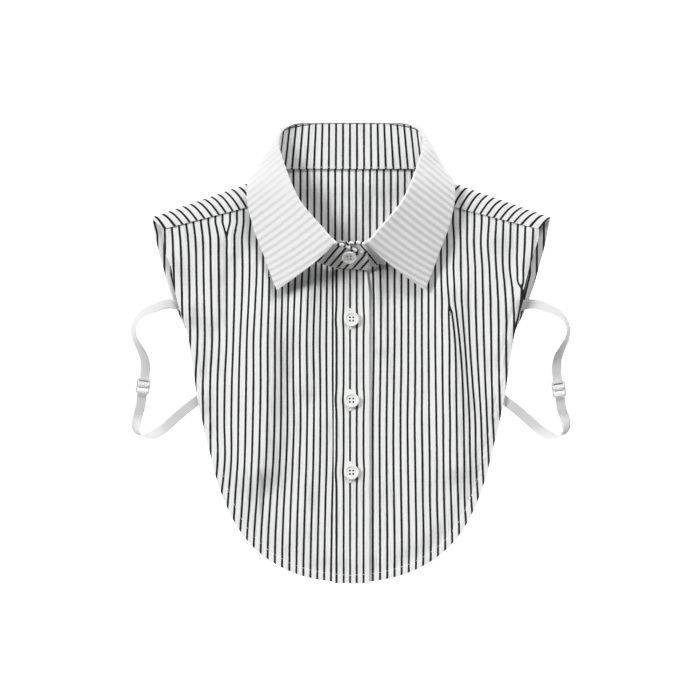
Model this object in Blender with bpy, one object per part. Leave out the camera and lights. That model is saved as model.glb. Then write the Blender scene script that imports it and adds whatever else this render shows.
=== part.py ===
"""Detachable shirt front with collar, laid face up on a table.

Two striped fronts, a back bib whose cloth runs over the shoulders, a button
band, a collar stand with a pointed fall, four buttons and two elastic side
straps with sliders. Tables and lengths are in millimetres: +X is the viewer's
right, +Y runs towards the collar, +Z is up from the table at Z = 0.
"""

import math

import bmesh
import bpy
import numpy as np
from mathutils import Matrix, Vector

MM = 0.001

# Cloth: one wall, and the step from the middle of a layer to the next one up
CLOTH = 1.0
LAYER = 1.4
TABLE_LAYER = CLOTH / 2

# Shoulder: the back's cloth folds over a sloping line and comes to the front
SHOULDER_TIP = (169.4, 114.2)
SHOULDER_NECK = (64.5, 151.0)
SHOULDER_FOLD_NECK = 8.0
SHOULDER_FOLD_TIP = 3.0
SHOULDER_SPREAD = 44.0
YOKE_SEAM_TIP = (158.4, 104.4)
YOKE_SEAM_NECK = (68.5, 127.6)
YOKE_LAP = 5.0
YOKE_STEP = 1.6
ARMHOLE_LAP = (3.2, 2.8)

# Shares of the way from hem to neck at which the bibs' grids have rows
BIB_ROWS = (0, 0.025, 0.06, 0.1, 0.16, 0.23, 0.31, 0.39, 0.47, 0.55, 0.63, 0.71, 0.79, 0.86, 0.92, 0.965, 1)

# Button band, sewn over the meeting edges of the two fronts
BAND_LEFT = -14.0
BAND_RIGHT = 15.6
BAND_HEM = -197.6
BAND_TOP = 70.5
FRONT_MEETING = -7.5
FRONT_GAP = 0.3

# Buttons
BUTTON_RADIUS = 6.4
BUTTON_THICK = 2.4
BUTTON_RIM = 1.3
BUTTON_DISH = 0.7
BUTTON_HOLE_RADIUS = 0.75
BUTTON_HOLE_SPREAD = 1.35
BUTTON_X = 0.4
BUTTON_ROWS = (28.1, -40.8, -102.0)
BUTTON_SEAT = 0.35
TAB_BUTTON = (-1.4, 79.6)
TAB_CURVE = 0.3

# Elastic and sliders
ELASTIC_WIDTH = 8.2
ELASTIC_THICK = 0.8
SLIDER_LENGTH = 13.0
SLIDER_WIDTH = 11.8
SLIDER_THICK = 1.3
SLIDER_BAR = 1.7
SLIDER_RAIL = 1.5
SLIDER_BASE = 1.15
SLIDER_TURN = 8.0
SLIDER_CENTRE = (176.5, -30.2)
SLIDER_SHIFT = {"left": 1.3, "right": -1.3}

# Outlines of the right half, from the centre of the hem to the armhole's top
FRONT_OUTLINE = (
    # x, y
    (0.0, -196.3),
    (22.0, -194.3),
    (50.2, -187.0),
    (68.0, -177.8),
    (84.7, -164.1),
    (98.6, -145.4),
    (106.8, -128.5),
    (113.9, -108.8),
    (121.2, -79.9),
    (126.6, -57.0),
    (130.9, -35.7),
    (134.7, -8.5),
    (139.4, 17.9),
    (146.2, 37.4),
    (151.3, 57.0),
    (155.6, 75.0),
    (158.2, 92.0),
    (158.8, 104.2),
)
BACK_OUTLINE = (
    # x, y
    (0.0, -168.0),
    (30.0, -164.0),
    (58.0, -150.0),
    (80.0, -125.0),
    (96.0, -92.0),
    (107.0, -62.0),
    (115.5, -36.0),
    (127.0, -6.0),
    (139.5, 18.0),
    (149.0, 38.5),
    (154.5, 54.0),
    (159.5, 71.0),
    (164.6, 90.1),
    (168.9, 111.5),
)
# Share of each outline that is its hem; the rest is its side edge
HEM_SHARE = 0.42
# Neck edge of the fronts, under the collar stand
NECK_EDGE = (
    # x, y
    (15.0, 74.6),
    (31.0, 81.5),
    (46.0, 95.0),
    (56.0, 107.0),
    (63.5, 121.5),
    (66.0, 132.6),
)
FRONT_NECK_Y = 72.8
BACK_NECK_EDGE = (
    # x, y
    (0.0, 158.2),
    (44.0, 158.2),
    (56.0, 157.0),
)

# Collar stand, from the centre of the back round to the throat: the seam on
# the neck and the roll line where the fall turns over
STAND_SECTIONS = (
    # seam_x, seam_y, seam_z, roll_x, roll_y, roll_z
    (0.0, 155.2, 3.3, 0.0, 193.5, 3.6),
    (20.5, 155.2, 3.3, 20.0, 193.5, 3.6),
    (38.5, 155.3, 3.3, 36.0, 193.2, 3.8),
    (48.0, 155.2, 3.6, 44.2, 191.9, 4.8),
    (55.5, 154.8, 4.6, 50.5, 190.3, 6.6),
    (62.0, 153.2, 7.0, 56.0, 187.5, 9.6),
    (66.5, 149.2, 10.8, 59.4, 182.5, 14.0),
    (69.0, 143.0, 12.8, 60.0, 174.0, 18.3),
    (69.8, 135.0, 11.8, 57.2, 163.4, 20.8),
    (69.4, 127.2, 10.4, 54.0, 153.6, 22.1),
    (67.0, 119.0, 8.6, 50.0, 143.0, 23.2),
    (60.0, 104.5, 5.9, 42.3, 127.3, 24.6),
    (49.0, 92.0, 5.0, 34.5, 117.1, 25.6),
    (34.0, 79.8, 4.8, 24.3, 105.5, 26.4),
    (16.0, 72.4, 4.9, 12.7, 92.9, 26.9),
)
# The throat end that goes under, and the end tab that is buttoned over it
UNDER_END = (
    (0.0, 72.4, 4.8, 0.0, 92.0, 25.8),
    (-10.5, 73.9, 4.9, -10.0, 94.2, 26.3),
)
TAB_END = (
    (0.0, 70.7, 5.1, 0.0, 89.5, 25.0),
    (5.5, 70.1, 5.2, 5.5, 87.8, 23.4),
    (10.0, 69.7, 5.3, 10.0, 84.9, 20.9),
    (13.2, 69.7, 5.4, 13.0, 80.6, 16.8),
    (15.1, 70.7, 6.4, 15.3, 74.4, 10.6),
)
# Collar fall: how each section of STAND_SECTIONS goes on from the roll line,
# as the two handles and the free edge of one bend
FALL_SECTIONS = (
    # out_x, out_y, out_z, in_x, in_y, in_z, edge_x, edge_y, edge_z
    (0.0, 184.0, 0.5, 0.0, 165.0, 0.5, 0.0, 149.0, 0.5),
    (20.0, 184.0, 0.5, 20.5, 165.0, 0.5, 20.5, 148.8, 0.5),
    (37.5, 183.5, 0.5, 38.5, 165.0, 0.5, 38.5, 148.0, 0.5),
    (47.5, 183.0, 0.6, 48.5, 165.0, 0.5, 48.5, 147.2, 0.5),
    (56.5, 183.0, 0.8, 57.0, 165.0, 0.5, 57.0, 146.2, 0.5),
    (65.0, 180.5, 2.0, 66.0, 163.0, 0.5, 65.5, 145.3, 0.5),
    (70.6, 175.6, 7.0, 74.8, 159.0, 0.5, 74.0, 144.6, 0.5),
    (74.2, 169.0, 18.0, 81.4, 152.6, 0.6, 81.5, 144.0, 0.5),
    (69.5, 158.4, 22.6, 84.4, 151.0, 13.0, 86.0, 145.4, 5.0),
    (66.2, 149.2, 24.0, 81.6, 143.6, 15.6, 87.4, 139.8, 11.4),
    (62.5, 139.0, 25.0, 78.0, 134.0, 16.0, 88.0, 130.4, 11.9),
    (54.0, 120.2, 26.5, 70.5, 111.2, 12.0, 82.6, 104.9, 7.4),
    (45.5, 108.2, 27.5, 62.5, 95.2, 10.5, 75.3, 85.8, 5.2),
    (36.0, 95.4, 28.5, 55.0, 79.6, 9.5, 68.8, 67.8, 4.4),
    (24.8, 78.2, 28.0, 45.2, 64.2, 9.0, 62.8, 52.4, 4.0),
)
FALL_TUCK_X = 92.0

# Where a cloth comes down from the layer below it to the table
RAMP = 16.0
RAMP_START = 5.0

# Soft folds in the fronts: a ridge from one point to another
FRONT_FOLDS = (
    # x0, y0, x1, y1, half_width, height
    (-105.0, 104.0, -88.0, -60.0, 11.0, 2.2),
    (-40.0, 40.0, -34.0, -150.0, 12.0, 1.4),
    (-75.0, 70.0, -70.0, -130.0, 10.0, 1.6),
    (72.0, 50.0, 92.0, -30.0, 8.0, 2.2),
    (92.0, 45.0, 110.0, -60.0, 7.0, 2.6),
    (40.0, 50.0, 46.0, -120.0, 12.0, 1.2),
    (138.0, 85.0, 126.0, 20.0, 8.0, 1.4),
    (-140.0, 80.0, -122.0, 0.0, 9.0, 1.2),
)

# Elastic of the right side, tilt in degrees from lying flat
UPPER_STRAP = (
    # x, y, z, tilt
    (142.2, 38.6, 1.85, 0.0),
    (150.8, 40.7, 2.05, 4.0),
    (158.0, 40.4, 1.6, 15.0),
    (166.0, 37.6, 2.6, 30.0),
    (174.5, 34.2, 3.6, 48.0),
    (181.0, 28.5, 4.2, 62.0),
    (184.6, 20.5, 4.4, 66.0),
    (183.4, 11.5, 4.2, 60.0),
    (179.0, 2.8, 3.4, 45.0),
    (175.5, -5.4, 2.2, 24.0),
    (174.6, -13.5, 0.9, 6.0),
)
LOWER_STRAP = (
    # x, y, z, tilt
    (181.2, -54.5, 0.9, 0.0),
    (182.6, -61.5, 2.4, 14.0),
    (181.0, -67.8, 4.2, 55.0),
    (176.2, -71.2, 4.6, 92.0),
    (168.4, -70.4, 3.6, 140.0),
    (160.0, -65.6, 1.2, 170.0),
    (150.5, -57.2, 0.45, 180.0),
    (140.0, -48.2, 0.45, 180.0),
    (130.0, -40.6, 0.45, 180.0),
    (122.5, -35.2, 0.45, 180.0),
)
# Where the elastic is sewn between the layers, which lie higher over it
UPPER_SEWN = ((138.0, 38.0), (152.0, 41.0))
LOWER_SEWN = ((122.0, -35.0), (131.0, -41.0))
SEWN_LIFT = 1.5
SEWN_REACH = 11.0
# How the elastic goes through the slider: over the middle bar, and in a
# sewn loop round the lower bar
UPPER_THREAD = (
    # along, z
    (9.5, 0.45),
    (6.0, 0.45),
    (4.5, 0.5),
    (2.9, 1.9),
    (1.4, 3.1),
    (0.0, 3.35),
    (-1.2, 3.0),
    (-1.7, 2.1),
)
LOWER_THREAD = (
    # along, z
    (-13.5, 0.45),
    (-9.0, 0.45),
    (-5.6, 0.45),
    (-4.2, 0.7),
    (-3.7, 1.8),
    (-4.3, 2.8),
    (-5.6, 3.2),
    (-7.2, 2.9),
    (-9.5, 2.1),
    (-13.0, 1.65),
    (-17.0, 1.45),
)


# ---------------------------------------------------------------- numbers


def smoothstep(value):
    value = np.clip(value, 0.0, 1.0)
    return value * value * (3.0 - 2.0 * value)


def knots_of(rows):
    """Distance run along the rows, from 0 to 1."""
    steps = np.linalg.norm(np.diff(rows, axis=0), axis=1)
    run = np.concatenate(([0.0], np.cumsum(steps)))
    return run / run[-1]


def curve(rows, at, knots=None):
    """Cubic through the rows, read at the places in at (0 to 1)."""
    rows = np.asarray(rows, float)
    at = np.asarray(at, float)
    knots = knots_of(rows) if knots is None else knots
    gap = np.diff(knots)
    slope = np.diff(rows, axis=0) / gap[:, None]
    inner = slope[:-1] * gap[1:, None] + slope[1:] * gap[:-1, None]
    inner = inner / (gap[:-1] + gap[1:])[:, None]
    tangent = np.vstack((slope[:1], inner, slope[-1:]))
    span = np.clip(np.searchsorted(knots, at, side="right") - 1, 0, len(gap) - 1)
    size = gap[span]
    t = ((at - knots[span]) / size)[:, None]
    start, end = rows[span], rows[span + 1]
    pull, push = tangent[span] * size[:, None], tangent[span + 1] * size[:, None]
    return (
        start * (1 + 2 * t) * (1 - t) ** 2
        + pull * t * (1 - t) ** 2
        + end * t**2 * (3 - 2 * t)
        - push * t**2 * (1 - t)
    )


def within_rows(knots, parts):
    """Places that cut each span between rows into parts."""
    steps = np.arange(parts * (len(knots) - 1) + 1) / parts
    return np.interp(steps, np.arange(len(knots)), knots)


def outline_y(rows, x, samples=240):
    """Height of an outline over x, the same on both sides."""
    line = curve(rows, np.linspace(0.0, 1.0, samples))
    order = np.argsort(line[:, 0])
    return np.interp(np.abs(x), line[order, 0], line[order, 1])


def distance_to_line(x, y, line):
    """Shortest way in plan from each point to a chain of points."""
    best = np.full(np.shape(x), 1e9)
    for (ax, ay), (bx, by) in zip(line[:-1], line[1:]):
        dx, dy = bx - ax, by - ay
        t = np.clip(((x - ax) * dx + (y - ay) * dy) / (dx * dx + dy * dy), 0.0, 1.0)
        best = np.minimum(best, np.hypot(x - ax - t * dx, y - ay - t * dy))
    return best


# ----------------------------------------------------------- cloth levels


def shoulder_frame(x, y):
    """Share of the way from neck to tip, and the distance below the fold."""
    neck, tip = np.array(SHOULDER_NECK), np.array(SHOULDER_TIP)
    along = tip - neck
    length = np.hypot(*along)
    along = along / length
    dx, dy = np.abs(x) - neck[0], y - neck[1]
    share = (dx * along[0] + dy * along[1]) / length
    below = dx * along[1] - dy * along[0]
    return share, below


def fold_height(share):
    share = np.clip(share, 0.0, 1.0)
    return SHOULDER_FOLD_NECK + (SHOULDER_FOLD_TIP - SHOULDER_FOLD_NECK) * share


def back_level(x, y):
    """Middle of the back bib: on the table, and up over the fall's edge."""
    edge = curve([row[6:8] for row in FALL_SECTIONS[:8]], np.linspace(0, 1, 60))
    edge_y = np.interp(np.abs(x), edge[:, 0], edge[:, 1])
    over = smoothstep((y - edge_y + RAMP + RAMP_START) / RAMP)
    beside = smoothstep((FALL_TUCK_X + RAMP - np.abs(x)) / RAMP)
    return TABLE_LAYER + LAYER * over * beside


def front_level(x, y):
    """Middle of the upper cloth: the fronts, and the start of the yoke."""
    x, y = np.asarray(x, float), np.asarray(y, float)
    outline = curve(BACK_OUTLINE, np.linspace(0.0, 1.0, 60))
    reach = distance_to_line(np.abs(x), y, outline)
    inside = np.where(y > outline_y(BACK_OUTLINE, x), reach, -reach)
    inside = np.where(np.abs(x) > outline[-1, 0], -reach, inside)
    level = TABLE_LAYER + LAYER * smoothstep((inside + RAMP + RAMP_START) / RAMP)
    for x0, y0, x1, y1, half_width, height in FRONT_FOLDS:
        near = distance_to_line(x, y, ((x0, y0), (x1, y1)))
        level = level + height * np.exp(-((near / half_width) ** 2))
    for sewn in (UPPER_SEWN, LOWER_SEWN):
        near = distance_to_line(np.abs(x), y, sewn)
        level = level + SEWN_LIFT * np.exp(-((near / SEWN_REACH) ** 2))
    share, below = shoulder_frame(x, y)
    top = back_level(x, y) + fold_height(share)
    fade = np.exp(-((np.maximum(below - 4.0, 0.0) / SHOULDER_SPREAD) ** 2))
    return level + (top - TABLE_LAYER - LAYER) * fade


# ------------------------------------------------------------ mesh makers


def material(name, color, roughness, metallic=0.0):
    mat = bpy.data.materials.new(name)
    mat.use_nodes = True
    shader = mat.node_tree.nodes["Principled BSDF"]
    shader.inputs["Base Color"].default_value = (*color, 1.0)
    shader.inputs["Roughness"].default_value = roughness
    shader.inputs["Metallic"].default_value = metallic
    mat.diffuse_color = (*color, 1.0)
    return mat


def add_object(name, mesh, mat, smooth_angle=35.0):
    mesh.materials.append(mat)
    mesh.shade_smooth()
    mesh.set_sharp_from_angle(angle=math.radians(smooth_angle))
    obj = bpy.data.objects.new(name, mesh)
    bpy.context.collection.objects.link(obj)
    return obj


def cloth(name, grids, mat, thickness=CLOTH):
    """One wall of cloth through grids of middle points that share edges."""
    bm = bmesh.new()
    for grid in grids:
        grid = np.asarray(grid) * MM
        verts = [[bm.verts.new(point) for point in row] for row in grid]
        for low, high in zip(verts[:-1], verts[1:]):
            for a, b, c, d in zip(low[:-1], low[1:], high[1:], high[:-1]):
                bm.faces.new((a, b, c, d))
    bmesh.ops.remove_doubles(bm, verts=bm.verts, dist=0.02 * MM)
    bmesh.ops.recalc_face_normals(bm, faces=bm.faces)
    mesh = bpy.data.meshes.new(name)
    bm.to_mesh(mesh)
    bm.free()
    obj = add_object(name, mesh, mat)
    wall = obj.modifiers.new("wall", "SOLIDIFY")
    wall.thickness = thickness * MM
    wall.offset = 0.0
    return obj


def coons(bottom, top, left, right, columns, rows, level):
    """Grid filled in between four edge lines in plan, at the level given."""
    s, t = columns[None, :, None], rows[:, None, None]
    across = left[:, None] * (1 - s) + right[:, None] * s
    upward = bottom[None] * (1 - t) + top[None] * t
    lower_corners = bottom[0] * (1 - s) + bottom[-1] * s
    upper_corners = top[0] * (1 - s) + top[-1] * s
    plan = across + upward - lower_corners * (1 - t) - upper_corners * t
    return np.dstack((plan, level(plan[..., 0], plan[..., 1])))


def bib_edges(outline, columns, rows, start):
    """Hem and side edge of half a bib, the hem from the place start."""
    hem = curve(outline, columns * HEM_SHARE)
    hem[0] = start, outline_y(outline, start)
    side = curve(outline, HEM_SHARE + (1.0 - HEM_SHARE) * rows)
    return hem, side


# ------------------------------------------------------------- the pieces


def shoulder_line(share):
    """Fold line from neck to tip, and the way in plan from its foot to it."""
    neck, tip = np.array(SHOULDER_NECK), np.array(SHOULDER_TIP)
    along = tip - neck
    away = np.array((-along[1], along[0])) / np.hypot(*along)
    return neck + share[:, None] * along, 0.5 * fold_height(share)[:, None] * away


def back_bib(mat):
    """Back bib lying on the table, with both shoulder flaps folded over."""
    share = np.linspace(0.0, 1.0, 10)
    line, depth = shoulder_line(share)
    foot = line - depth
    neck = np.vstack((BACK_NECK_EDGE, foot[:1]))
    neck = np.column_stack([np.interp(np.linspace(0, 1, 7), knots_of(neck), v) for v in neck.T])
    top = np.vstack((neck, foot[1:]))
    columns = knots_of(top)
    rows = np.array(BIB_ROWS)
    hem, side = bib_edges(BACK_OUTLINE, columns, rows, 0.0)
    side[-1] = foot[-1]
    centre = hem[0] + rows[:, None] * (top[0] - hem[0])
    body = coons(hem, top, centre, side, columns, rows, back_level)
    flap = shoulder_flap(share, foot, depth)
    grids = [grid * (turn, 1.0, 1.0) for turn in (1.0, -1.0) for grid in (body, flap)]
    return cloth("back_bib", grids, mat)


def shoulder_flap(share, foot, depth):
    """From the back's level round the fold and down to the yoke seam."""
    low = back_level(foot[:, 0], foot[:, 1])
    height = fold_height(share)
    rows = []
    for angle in np.radians((-90, -50, -16, 16, 50, 90)):
        plan = foot + depth * math.cos(angle)
        rows.append(np.column_stack((plan, low + height * (0.5 + 0.5 * math.sin(angle)))))
    seam_neck, seam_tip = np.array(YOKE_SEAM_NECK), np.array(YOKE_SEAM_TIP)
    seam = seam_neck + share[:, None] * (seam_tip - seam_neck)
    for part in np.linspace(0.0, 1.0, 6)[1:]:
        plan = foot * (1.0 - part) + seam * part
        lift = YOKE_STEP * smoothstep(part / 0.6)
        rows.append(np.column_stack((plan, front_level(plan[:, 0], plan[:, 1]) + lift)))
    return np.array(rows)


def front(name, side, mat):
    """One front, from the centre to the armhole and from hem to yoke."""
    start = side * FRONT_MEETING + FRONT_GAP / 2
    lap = np.array((0.0, YOKE_LAP))
    neck = np.vstack(((start, FRONT_NECK_Y), NECK_EDGE))
    neck = np.column_stack([np.interp(np.linspace(0, 1, 8), knots_of(neck), v) for v in neck.T])
    seam = np.linspace(0, 1, 10)[:, None] * (np.subtract(YOKE_SEAM_TIP, YOKE_SEAM_NECK))
    seam = seam + YOKE_SEAM_NECK + lap
    seam[-1] = np.add(YOKE_SEAM_TIP, ARMHOLE_LAP)
    top = np.vstack((neck, seam[1:]))
    columns = knots_of(top)
    rows = np.array(BIB_ROWS)
    hem, armhole = bib_edges(FRONT_OUTLINE, columns, rows, start)
    armhole[-1] = top[-1]
    centre = hem[0] + rows[:, None] * (top[0] - hem[0])
    grid = coons(hem, top, centre, armhole, columns, rows, front_level)
    return cloth(name, [grid * (side, 1.0, 1.0)], mat)


def placket(mat):
    """Button band over the meeting edges of the fronts."""
    x = np.linspace(BAND_LEFT, BAND_RIGHT, 4)
    share = np.array(BIB_ROWS)
    y = BAND_HEM + share * (BAND_TOP - BAND_HEM)
    plan_x, plan_y = np.meshgrid(x, y)
    return cloth("placket", [np.dstack((plan_x, plan_y, band_level(plan_x, plan_y)))], mat)


def band_level(x, y):
    return front_level(x, y) + LAYER


def stand_rows():
    """Sections of the whole stand, from the under end round to the tab."""
    half = np.array(STAND_SECTIONS)
    flip = np.array((-1.0, 1.0, 1.0, -1.0, 1.0, 1.0))
    return np.vstack((UNDER_END[::-1], half[::-1], half[1:] * flip, TAB_END))


def stand_lines(at):
    """Seam line, roll line and outward direction of the stand."""
    rows = stand_rows()
    knots = 0.5 * (knots_of(rows[:, :3]) + knots_of(rows[:, 3:]))
    both = curve(rows, at, knots)
    ahead = curve(rows, np.clip(at + 0.001, 0, 1), knots)
    behind = curve(rows, np.clip(at - 0.001, 0, 1), knots)
    seam, roll = both[:, :3], both[:, 3:]
    outward = np.cross(ahead[:, 3:] - behind[:, 3:], roll - seam)
    return seam, roll, outward / np.linalg.norm(outward, axis=1)[:, None], knots


def collar_stand(mat):
    seam, roll, _, _ = stand_lines(np.linspace(0.0, 1.0, 71))
    share = np.linspace(0.0, 1.0, 4)[:, None, None]
    return cloth("collar_stand", [seam * (1.0 - share) + roll * share], mat)


def collar_fall(mat):
    """Fall from one leaf's front edge round the back to the other's."""
    under = len(UNDER_END)
    count = 2 * len(STAND_SECTIONS) - 1
    _, _, _, knots = stand_lines(np.array((0.0, 1.0)))
    own = knots[under : under + count]
    half = np.array(FALL_SECTIONS)
    flip = np.array((-1.0, 1.0, 1.0) * 3)
    rows = np.vstack((half[::-1], half[1:] * flip))
    at = np.linspace(own[0], own[-1], 65)
    _, roll, outward, _ = stand_lines(at)
    start = roll + LAYER * outward
    bend = curve(rows, at, own)
    t = np.linspace(0.0, 1.0, 11)[:, None, None]
    grid = (
        start * (1 - t) ** 3
        + 3 * bend[:, 0:3] * t * (1 - t) ** 2
        + 3 * bend[:, 3:6] * t**2 * (1 - t)
        + bend[:, 6:9] * t**3
    )
    return cloth("collar_fall", [grid], mat)


def button(name, place, mat):
    """Shirt button: a turned disc with a rim, a dish and four holes."""
    rim = BUTTON_RADIUS - BUTTON_RIM
    profile = (
        (0.0, 0.0),
        (BUTTON_RADIUS - 0.9, 0.0),
        (BUTTON_RADIUS, 0.9),
        (BUTTON_RADIUS, BUTTON_THICK - 0.6),
        (BUTTON_RADIUS - 0.6, BUTTON_THICK),
        (rim, BUTTON_THICK),
        (rim - 0.7, BUTTON_THICK - BUTTON_DISH),
        (0.0, BUTTON_THICK - BUTTON_DISH),
    )
    bm = bmesh.new()
    verts = [bm.verts.new((r * MM, 0.0, z * MM)) for r, z in profile]
    edges = [bm.edges.new(pair) for pair in zip(verts[:-1], verts[1:])]
    bmesh.ops.spin(
        bm,
        geom=verts + edges,
        axis=(0, 0, 1),
        cent=(0, 0, 0),
        angle=2 * math.pi,
        steps=20,
        use_merge=True,
    )
    bmesh.ops.remove_doubles(bm, verts=bm.verts, dist=0.02 * MM)
    bmesh.ops.recalc_face_normals(bm, faces=bm.faces)
    mesh = bpy.data.meshes.new(name)
    bm.to_mesh(mesh)
    bm.free()
    obj = add_object(name, mesh, mat)
    obj.matrix_world = place
    add_cut(obj, button_holes(name + "_holes", place))
    return obj


def button_holes(name, place):
    bm = bmesh.new()
    for x in (-BUTTON_HOLE_SPREAD, BUTTON_HOLE_SPREAD):
        for y in (-BUTTON_HOLE_SPREAD, BUTTON_HOLE_SPREAD):
            bmesh.ops.create_cone(
                bm,
                cap_ends=True,
                segments=6,
                radius1=BUTTON_HOLE_RADIUS * MM,
                radius2=BUTTON_HOLE_RADIUS * MM,
                depth=4 * BUTTON_THICK * MM,
                matrix=Matrix.Translation(Vector((x, y, 0.0)) * MM),
            )
    return add_cutter(name, bm, place)


def add_cutter(name, bm, place):
    mesh = bpy.data.meshes.new(name)
    bm.to_mesh(mesh)
    bm.free()
    cutter = bpy.data.objects.new(name, mesh)
    bpy.context.collection.objects.link(cutter)
    cutter.matrix_world = place
    cutter.hide_render = True
    cutter.display_type = "WIRE"
    return cutter


def add_cut(obj, cutter):
    cut = obj.modifiers.new(cutter.name, "BOOLEAN")
    cut.operation = "DIFFERENCE"
    cut.object = cutter


def placket_button_place(y):
    """Seat of a button on the band, level with its highest point there."""
    ring = np.linspace(0.0, 2.0 * math.pi, 16)
    reach = np.concatenate(([0.0], np.full(16, BUTTON_RADIUS)))
    angle = np.concatenate(([0.0], ring))
    high = band_level(BUTTON_X + reach * np.cos(angle), y + reach * np.sin(angle)).max()
    seat = high + CLOTH / 2 + BUTTON_SEAT
    return Matrix.Translation(Vector((BUTTON_X, y, seat)) * MM)


def stand_button_place():
    """Seat of the throat button, square to the tab's slope."""
    seam = np.array(TAB_END[0][:3])
    roll = np.array(TAB_END[0][3:])
    share = (TAB_BUTTON[1] - seam[1]) / (roll[1] - seam[1])
    point = seam + share * (roll - seam)
    tilt = math.atan2(roll[2] - seam[2], roll[1] - seam[1])
    normal = Vector((0.0, -math.sin(tilt), math.cos(tilt)))
    middle = Vector((TAB_BUTTON[0], point[1], point[2]))
    seat = middle + normal * (CLOTH / 2 + BUTTON_SEAT + TAB_CURVE)
    return Matrix.Translation(seat * MM) @ Matrix.Rotation(tilt, 4, "X")


def strap_rows(rows):
    """Points of a strap and the way across it, rolled by the row's tilt."""
    rows = np.array(rows)
    points, tilt = rows[:, :3], np.radians(rows[:, 3:])
    ahead = np.gradient(points * (1.0, 1.0, 0.0), axis=0)
    ahead /= np.linalg.norm(ahead, axis=1)[:, None]
    across = np.cross(ahead, (0.0, 0.0, 1.0))
    return np.hstack((points, across * np.cos(tilt) + np.array((0, 0, 1)) * np.sin(tilt)))


def thread_rows(rows):
    """The same for the stretch inside the slider, along the slider's axis."""
    turn = math.radians(SLIDER_TURN)
    along = np.array((-math.sin(turn), math.cos(turn)))
    across = np.array((-math.cos(turn), -math.sin(turn), 0.0))
    rows = np.array(rows)
    plan = np.array(SLIDER_CENTRE) + rows[:, :1] * along
    return np.column_stack((plan, rows[:, 1], np.tile(across, (len(rows), 1))))


def elastic(name, rows, side, mat):
    """Flat elastic through its rows of points and ways across."""
    knots = knots_of(rows[:, :3])
    path = curve(rows, within_rows(knots, 3), knots)
    wide = path[:, 3:] / np.linalg.norm(path[:, 3:], axis=1)[:, None] * ELASTIC_WIDTH / 2
    points = path[:, :3]
    lowest = points[:, 2] - np.abs(wide[:, 2]) - ELASTIC_THICK / 2
    points[:, 2] -= np.minimum(lowest, 0.0)
    grid = np.array((points - wide, points + wide)) * (side, 1.0, 1.0)
    return cloth(name, [grid], mat, ELASTIC_THICK)


def slider(name, side, shift, mat):
    """Slide adjuster: a rounded frame with two slots, three bars."""
    turn = Matrix.Rotation(math.radians(SLIDER_TURN * side), 4, "Z")
    centre = Vector((SLIDER_CENTRE[0] * side, SLIDER_CENTRE[1] + shift, SLIDER_BASE + SLIDER_THICK / 2))
    place = Matrix.Translation(centre * MM) @ turn
    size = Vector((SLIDER_WIDTH, SLIDER_LENGTH, SLIDER_THICK)) * MM
    bm = bmesh.new()
    bmesh.ops.create_cube(bm, size=1.0, matrix=Matrix.Diagonal((*size, 1.0)))
    upright = [e for e in bm.edges if abs(e.verts[0].co.z - e.verts[1].co.z) > 0.5 * size.z]
    bmesh.ops.bevel(bm, geom=upright, offset=1.6 * MM, segments=3, affect="EDGES", profile=0.5)
    mesh = bpy.data.meshes.new(name)
    bm.to_mesh(mesh)
    bm.free()
    obj = add_object(name, mesh, mat)
    obj.matrix_world = place
    slot = SLIDER_LENGTH / 2 - SLIDER_BAR * 1.5
    cutter = bmesh.new()
    for end in (-1.0, 1.0):
        middle = Vector((0.0, end * (SLIDER_BAR + slot) / 2, 0.0)) * MM
        box = Vector((SLIDER_WIDTH - 2 * SLIDER_RAIL, slot, 4 * SLIDER_THICK)) * MM
        matrix = Matrix.Translation(middle) @ Matrix.Diagonal((*box, 1.0))
        bmesh.ops.create_cube(cutter, size=1.0, matrix=matrix)
    add_cut(obj, add_cutter(name + "_slots", cutter, place))
    rounding = obj.modifiers.new("rounding", "BEVEL")
    rounding.width = 0.3 * MM
    rounding.segments = 1
    rounding.limit_method = "ANGLE"
    return obj


def main():
    for obj in list(bpy.data.objects):
        bpy.data.objects.remove(obj, do_unlink=True)
    striped = material("striped_poplin", (0.78, 0.78, 0.79), 0.85)
    pale = material("shadow_stripe_poplin", (0.9, 0.9, 0.91), 0.85)
    white = material("white_button", (0.92, 0.92, 0.91), 0.3)
    webbing = material("white_elastic", (0.85, 0.85, 0.85), 0.9)
    moulded = material("white_slider", (0.88, 0.88, 0.88), 0.4)
    back_bib(striped)
    front("front_right", -1.0, striped)
    front("front_left", 1.0, striped)
    placket(striped)
    collar_stand(striped)
    collar_fall(pale)
    button("button_stand", stand_button_place(), white)
    for number, y in enumerate(BUTTON_ROWS, start=1):
        button(f"button_{number}", placket_button_place(y), white)
    for name, side in (("left", -1.0), ("right", 1.0)):
        shift = np.array((0.0, SLIDER_SHIFT[name], 0.0, 0.0, 0.0, 0.0))
        upper = np.vstack((strap_rows(UPPER_STRAP), thread_rows(UPPER_THREAD) + shift))
        lower = np.vstack((thread_rows(LOWER_THREAD) + shift, strap_rows(LOWER_STRAP)))
        elastic("strap_upper_" + name, upper, side, webbing)
        elastic("strap_lower_" + name, lower, side, webbing)
        slider("slider_" + name, side, SLIDER_SHIFT[name], moulded)


main()
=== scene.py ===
import math

import bmesh
import bpy
import numpy as np
from mathutils import Matrix, Vector


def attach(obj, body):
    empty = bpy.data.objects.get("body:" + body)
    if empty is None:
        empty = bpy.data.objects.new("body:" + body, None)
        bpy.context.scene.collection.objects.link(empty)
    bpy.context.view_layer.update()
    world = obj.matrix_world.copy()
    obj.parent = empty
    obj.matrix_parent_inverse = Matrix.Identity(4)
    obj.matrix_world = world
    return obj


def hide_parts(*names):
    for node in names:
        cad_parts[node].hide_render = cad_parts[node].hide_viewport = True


mm = 0.001  # tables and lengths are in millimetres, +X viewer's right, +Y towards the collar
pitch = 5.95  # one stripe repeat of the cloth

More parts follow.
